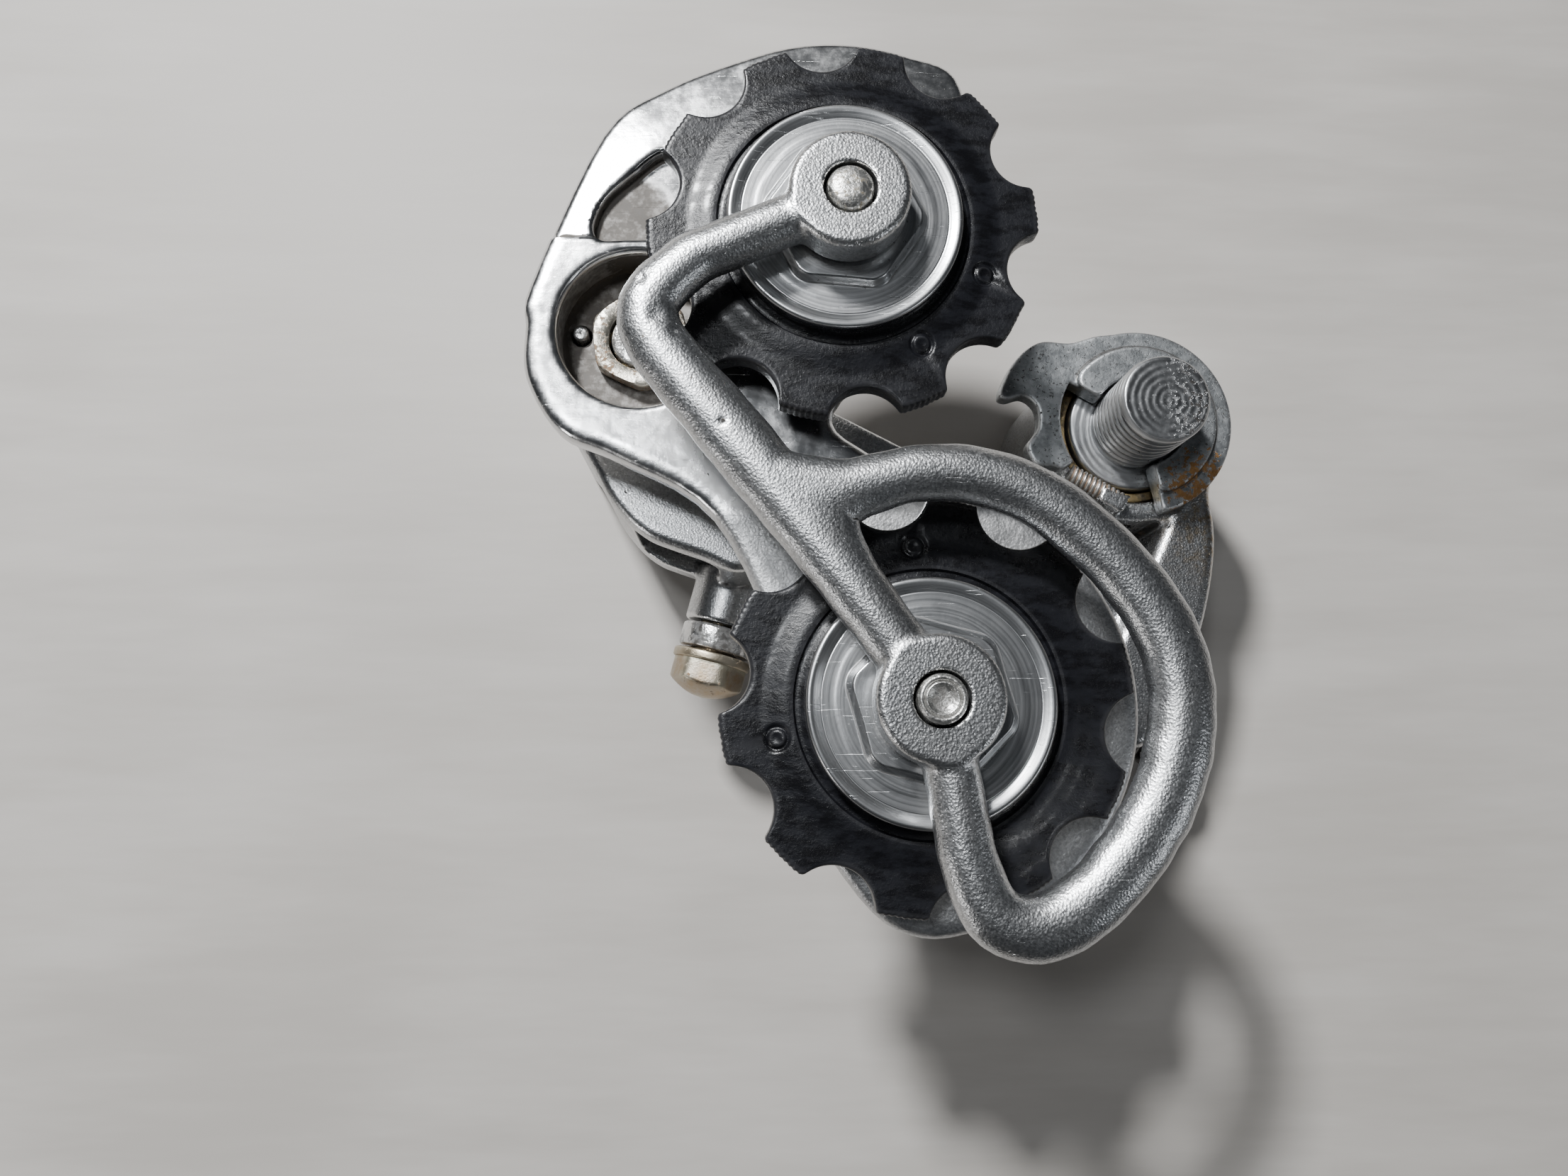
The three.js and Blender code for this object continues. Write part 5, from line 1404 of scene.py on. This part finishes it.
def pulley_shell(phase, marks, seed):
    """Rows from the bore over the face, round the teeth and back under. A row's radius is its
    own, or the tooth line less an inset, and small sums of sines wear the line down."""
    t = np.linspace(0, TAU, 900, endpoint=False)
    line = tooth_line(t)
    wear = sum(np.sin(t * k + seed * k) for k in (7, 13, 23, 41, 67)) / 5
    at_tip = np.clip((line - 18.4) / 1.0, 0, 1)
    line = line - 0.05 - (0.10 * (wear + 0.6) + 0.05 * np.sin(t * 211 + seed)) * at_tip
    hub = [(PULLEY_BORE, 0.3), (PULLEY_BORE + 0.2, 0)] + [(r, 0) for r in np.linspace(5, 11.4, 5)] \
        + [(11.7, 0.32), (12.25, 0.32), (12.45, 0.02)] \
        + [(12.7 + 2.9 * k, 0.5 * k * k * (3 - 2 * k)) for k in np.linspace(0, 1, 24)]
    rim = [(0.75, 0.5), (0.45, 0.5), (0.2, 0.56), (0.06, 0.72), (0, 0.98), (0, 1.3)]
    rows = []
    for radius, drop in hub:
        rows.append((radius + 0 * t, drop))
    for inset, drop in rim:
        rows.append((line - inset, drop))
    radii = np.array([row[0] for row in rows])
    drops = np.array([row[1] for row in rows])[:, None]
    centre_level = (hub_low + hub_high) / 2
    top = np.stack([radii * np.cos(t + phase), radii * np.sin(t + phase),
                    hub_high - drops + 0 * radii], -1)
    under = top[::-1].copy()
    under[..., 2] = 2 * centre_level - under[..., 2]
    for mark_x, mark_y in marks:
        away = np.hypot(top[..., 0] - mark_x, top[..., 1] - mark_y)
        top[..., 2] -= 0.28 * hump((away - 1.0) / 0.22) + 0.12 * hump(away / 0.45)
    return skin(np.concatenate([top, under]), close_rows=True)


SHIELD_RADIUS, SHIELD_LEVEL, SHIELD_BORE, SHEET = 11.4, 21.2, 2.5, 0.6
WEB_TOP = 1.3  # above the shield's foot
HEX_CORNERS, HEX_RISE, BAND = 16.7, 0.8, 1.5


def shield_shell(hexagon_turn=None):
    """A pressed sheet as a height over (r, t): the web, a rolled rim at the edge, and where it
    has one, a hexagon with sloped sides and a flat band round it. The underside is the same
    height less the sheet."""
    t = np.linspace(0, TAU, 360, endpoint=False)
    r = np.concatenate([np.linspace(SHIELD_BORE, SHIELD_RADIUS - 1.5, 90),
                        np.linspace(SHIELD_RADIUS - 1.48, SHIELD_RADIUS - 0.35, 16)])
    r = r[:, None] + 0 * t
    height = WEB_TOP + 0 * r
    if hexagon_turn is not None:
        from_flat = t - hexagon_turn - math.pi / 6
        beyond = r - hexed(HEX_CORNERS * math.sqrt(3) / 2, from_flat, 0.35)
        slope = np.clip(-beyond / 0.75, 0, 1)
        height = height + HEX_RISE * slope * slope * (3 - 2 * slope)
        band = hexed((HEX_CORNERS + 2 * BAND) * math.sqrt(3) / 2, from_flat, 1.1)
        height = height - 0.05 / (1 + np.exp(np.clip((band - r) * 9, -60, 60)))
    rim = np.clip((r - SHIELD_RADIUS + 1.5) / 1.15, 0, 1)
    groove = 0.05 * hump((rim - 0.12) / 0.12) * (rim > 0)
    height = height + 0.3 * np.sin(rim * math.pi * 0.5) ** 2 - groove
    top = np.stack([r * np.cos(t), r * np.sin(t), SHIELD_LEVEL + height], -1)
    a = np.linspace(0.35, math.pi / 2, 5)[:, None] + 0 * t
    edge_r = SHIELD_RADIUS - 0.35 + 0.35 * np.sin(a)
    edge_z = SHIELD_LEVEL + height[-1] - 0.35 + 0.35 * np.cos(a)
    edge = np.stack([edge_r * np.cos(t), edge_r * np.sin(t), edge_z], -1)
    foot_r = SHIELD_RADIUS - np.array([0, 0.1, SHEET, SHEET])[:, None] + 0 * t
    foot_z = SHIELD_LEVEL + np.array([0.1, 0, 0, 0.5])[:, None] + 0 * t
    foot = np.stack([foot_r * np.cos(t), foot_r * np.sin(t), foot_z], -1)
    under = top[:95:6][::-1].copy()
    under[..., 2] = np.maximum(under[..., 2] - SHEET, SHIELD_LEVEL + 0.2)
    return np.concatenate([top, edge, foot, under])


def pressed_steel(name, axis):
    """Pressed steel spun bright: fine rings round its axis, short random scratches, greasy smears,
    dirt flecks under the boss, and dirt and painted shade in creases such as the foot of the
    hexagon."""
    finish = Finish(name)
    worn, crease = finish.edges()
    radius = finish.length(finish.flat(*axis))
    by_radius = finish.node("CombineXYZ", None, {0: radius * 5000, 1: finish.noise(14, 1) * 2})
    rings = finish.noise(1 / MM, 3.0, 0.65, by_radius)
    marks = finish.noise(1, 2, 0.5, finish.stretched((0, 0, 0.8), (0.14, 5.0, 1.0)))
    other = finish.noise(1, 2, 0.5, finish.stretched((0, 0, 2.3), (0.14, 5.0, 1.0)))
    scratch = finish.ramp(marks, 0.68, 0.73) + finish.ramp(other, 0.68, 0.73)
    cloud = finish.noise(2.6, 5, 0.65)
    inner = finish.ramp(radius, 9.6 * MM, 6.5 * MM)
    dirt = finish.ramp(finish.noise(0.6, 4, 0.7), 0.60, 0.70) * inner
    # Dirt and painted shade: creases darken by their depth as painted shade, and flecks near the
    # middle are dirt.
    grime_and_shade = finish.ramp(crease * 1.1 + dirt, 0.2, 1.0)
    tone = finish.mix(finish.ramp(rings, 0.35, 0.65), (0.46, 0.47, 0.48), (0.66, 0.67, 0.68))
    tone = finish.mix(finish.ramp(cloud, 0.45, 0.75) * 0.4, tone, (0.45, 0.45, 0.44))
    height = rings * 0.16 - scratch * 0.4 + cloud * 0.7
    return finish.set(
        Base_Color=finish.mix(grime_and_shade * 0.85, tone, (0.05, 0.045, 0.04)),
        Metallic=1 - grime_and_shade * 0.7,
        Roughness=(0.21 + rings * 0.10 + cloud * 0.10) + grime_and_shade * 0.3 - worn * 0.04,
        Normal=finish.bump(height, 0.028),
    ).material


def domed_end(axle_low, axle_top, dished):
    """The rivet's profile: a wide flat head below, a plain shank, and above either a low dome or
    a dish inside a raised rim."""
    head = [(0, 0), (3.2, 0), (3.6, 0.4), (3.6, 1), (2.2, 1)]
    if dished:
        end = [(2.2, 0.35), (1.95, 0.05), (1.7, 0.05), (1.55, 0.35),
               (1.4, 0.15), (0.9, 0.5), (0, 0.6)]
    else:
        end = [(2.2, 0.7), (1.85, 0.3), (1.1, 0.06), (0, 0)]
    profile = [(r, axle_low + up) for r, up in head] + [(r, axle_top - drop) for r, drop in end]
    return skin(turned(softened(profile, 0.25), 90))


def rivet_steel(name, tint):
    """Dull steel, hammered and pitted, with amber grease round it, heavier in its creases as
    painted shade.
    """
    finish = Finish(name)
    worn, crease = finish.edges()
    hammered = finish.noise(0.9, 3, 0.6)
    # Grease patches, and painted shade from the crease depth.
    soil_and_shade = finish.ramp(finish.noise(0.5, 4, 0.7) + crease * 0.3, 0.50, 0.68)
    tone = finish.mix(hammered, (0.50, 0.50, 0.48), (0.78, 0.77, 0.74))
    return finish.set(
        Base_Color=finish.mix(soil_and_shade * 0.8, tone, tint),
        Metallic=1 - soil_and_shade * 0.55,
        Roughness=0.24 + hammered * 0.2 + soil_and_shade * 0.1,
        Coat_Weight=soil_and_shade * 0.7,
        Normal=finish.bump(hammered * 1.6 + finish.noise(0.25, 3), 0.05),
    ).material


GUIDE_MARKS, TENSION_MARKS = ((7.4, -12.1), (13.7, -4.9)), ((-1.1, 14.6), (-13.9, -3.2))
PULLEYS = (
    ("guide", GUIDE, 6, GUIDE_MARKS, 1.7, -4.3, False, (0.16, 0.12, 0.05)),
    ("tension", TENSION, 10, TENSION_MARKS, 4.1, -14.6, True, (0.06, 0.055, 0.05)),
)
pulley_resin = black_resin("pulley_resin")
for name, axis, phase, marks, seed, hex_turn, dished, tint in PULLEYS:
    centre = (*axis, 0)
    piece(f"{name}_pulley", f"{name}_pulley", pulley_resin,
          set_on(pulley_shell(math.radians(phase), marks, seed), centre), crisp=50)
    piece(f"{name}_bush", "cage", greasy_bronze,
          set_on(sleeve(2.5, 3.6, *span_of(f"{name}_bush")), centre))
    spun = pressed_steel(f"{name}_shield_steel", axis)
    inner_shield = shield_shell(math.radians(hex_turn))
    piece(f"{name}_inner_shield", "cage", spun,
          set_on(skin(inner_shield, close_rows=True), centre))
    outer_shield = shield_shell()
    outer_shield[..., 2] = hub_low + hub_high - outer_shield[..., 2]
    piece(f"{name}_outer_shield", "cage", spun,
          set_on(skin(outer_shield, close_rows=True), centre))
    piece(f"{name}_axle", "cage", rivet_steel(f"{name}_rivet", tint),
          set_on(domed_end(*span_of(f"{name}_axle"), dished), centre))
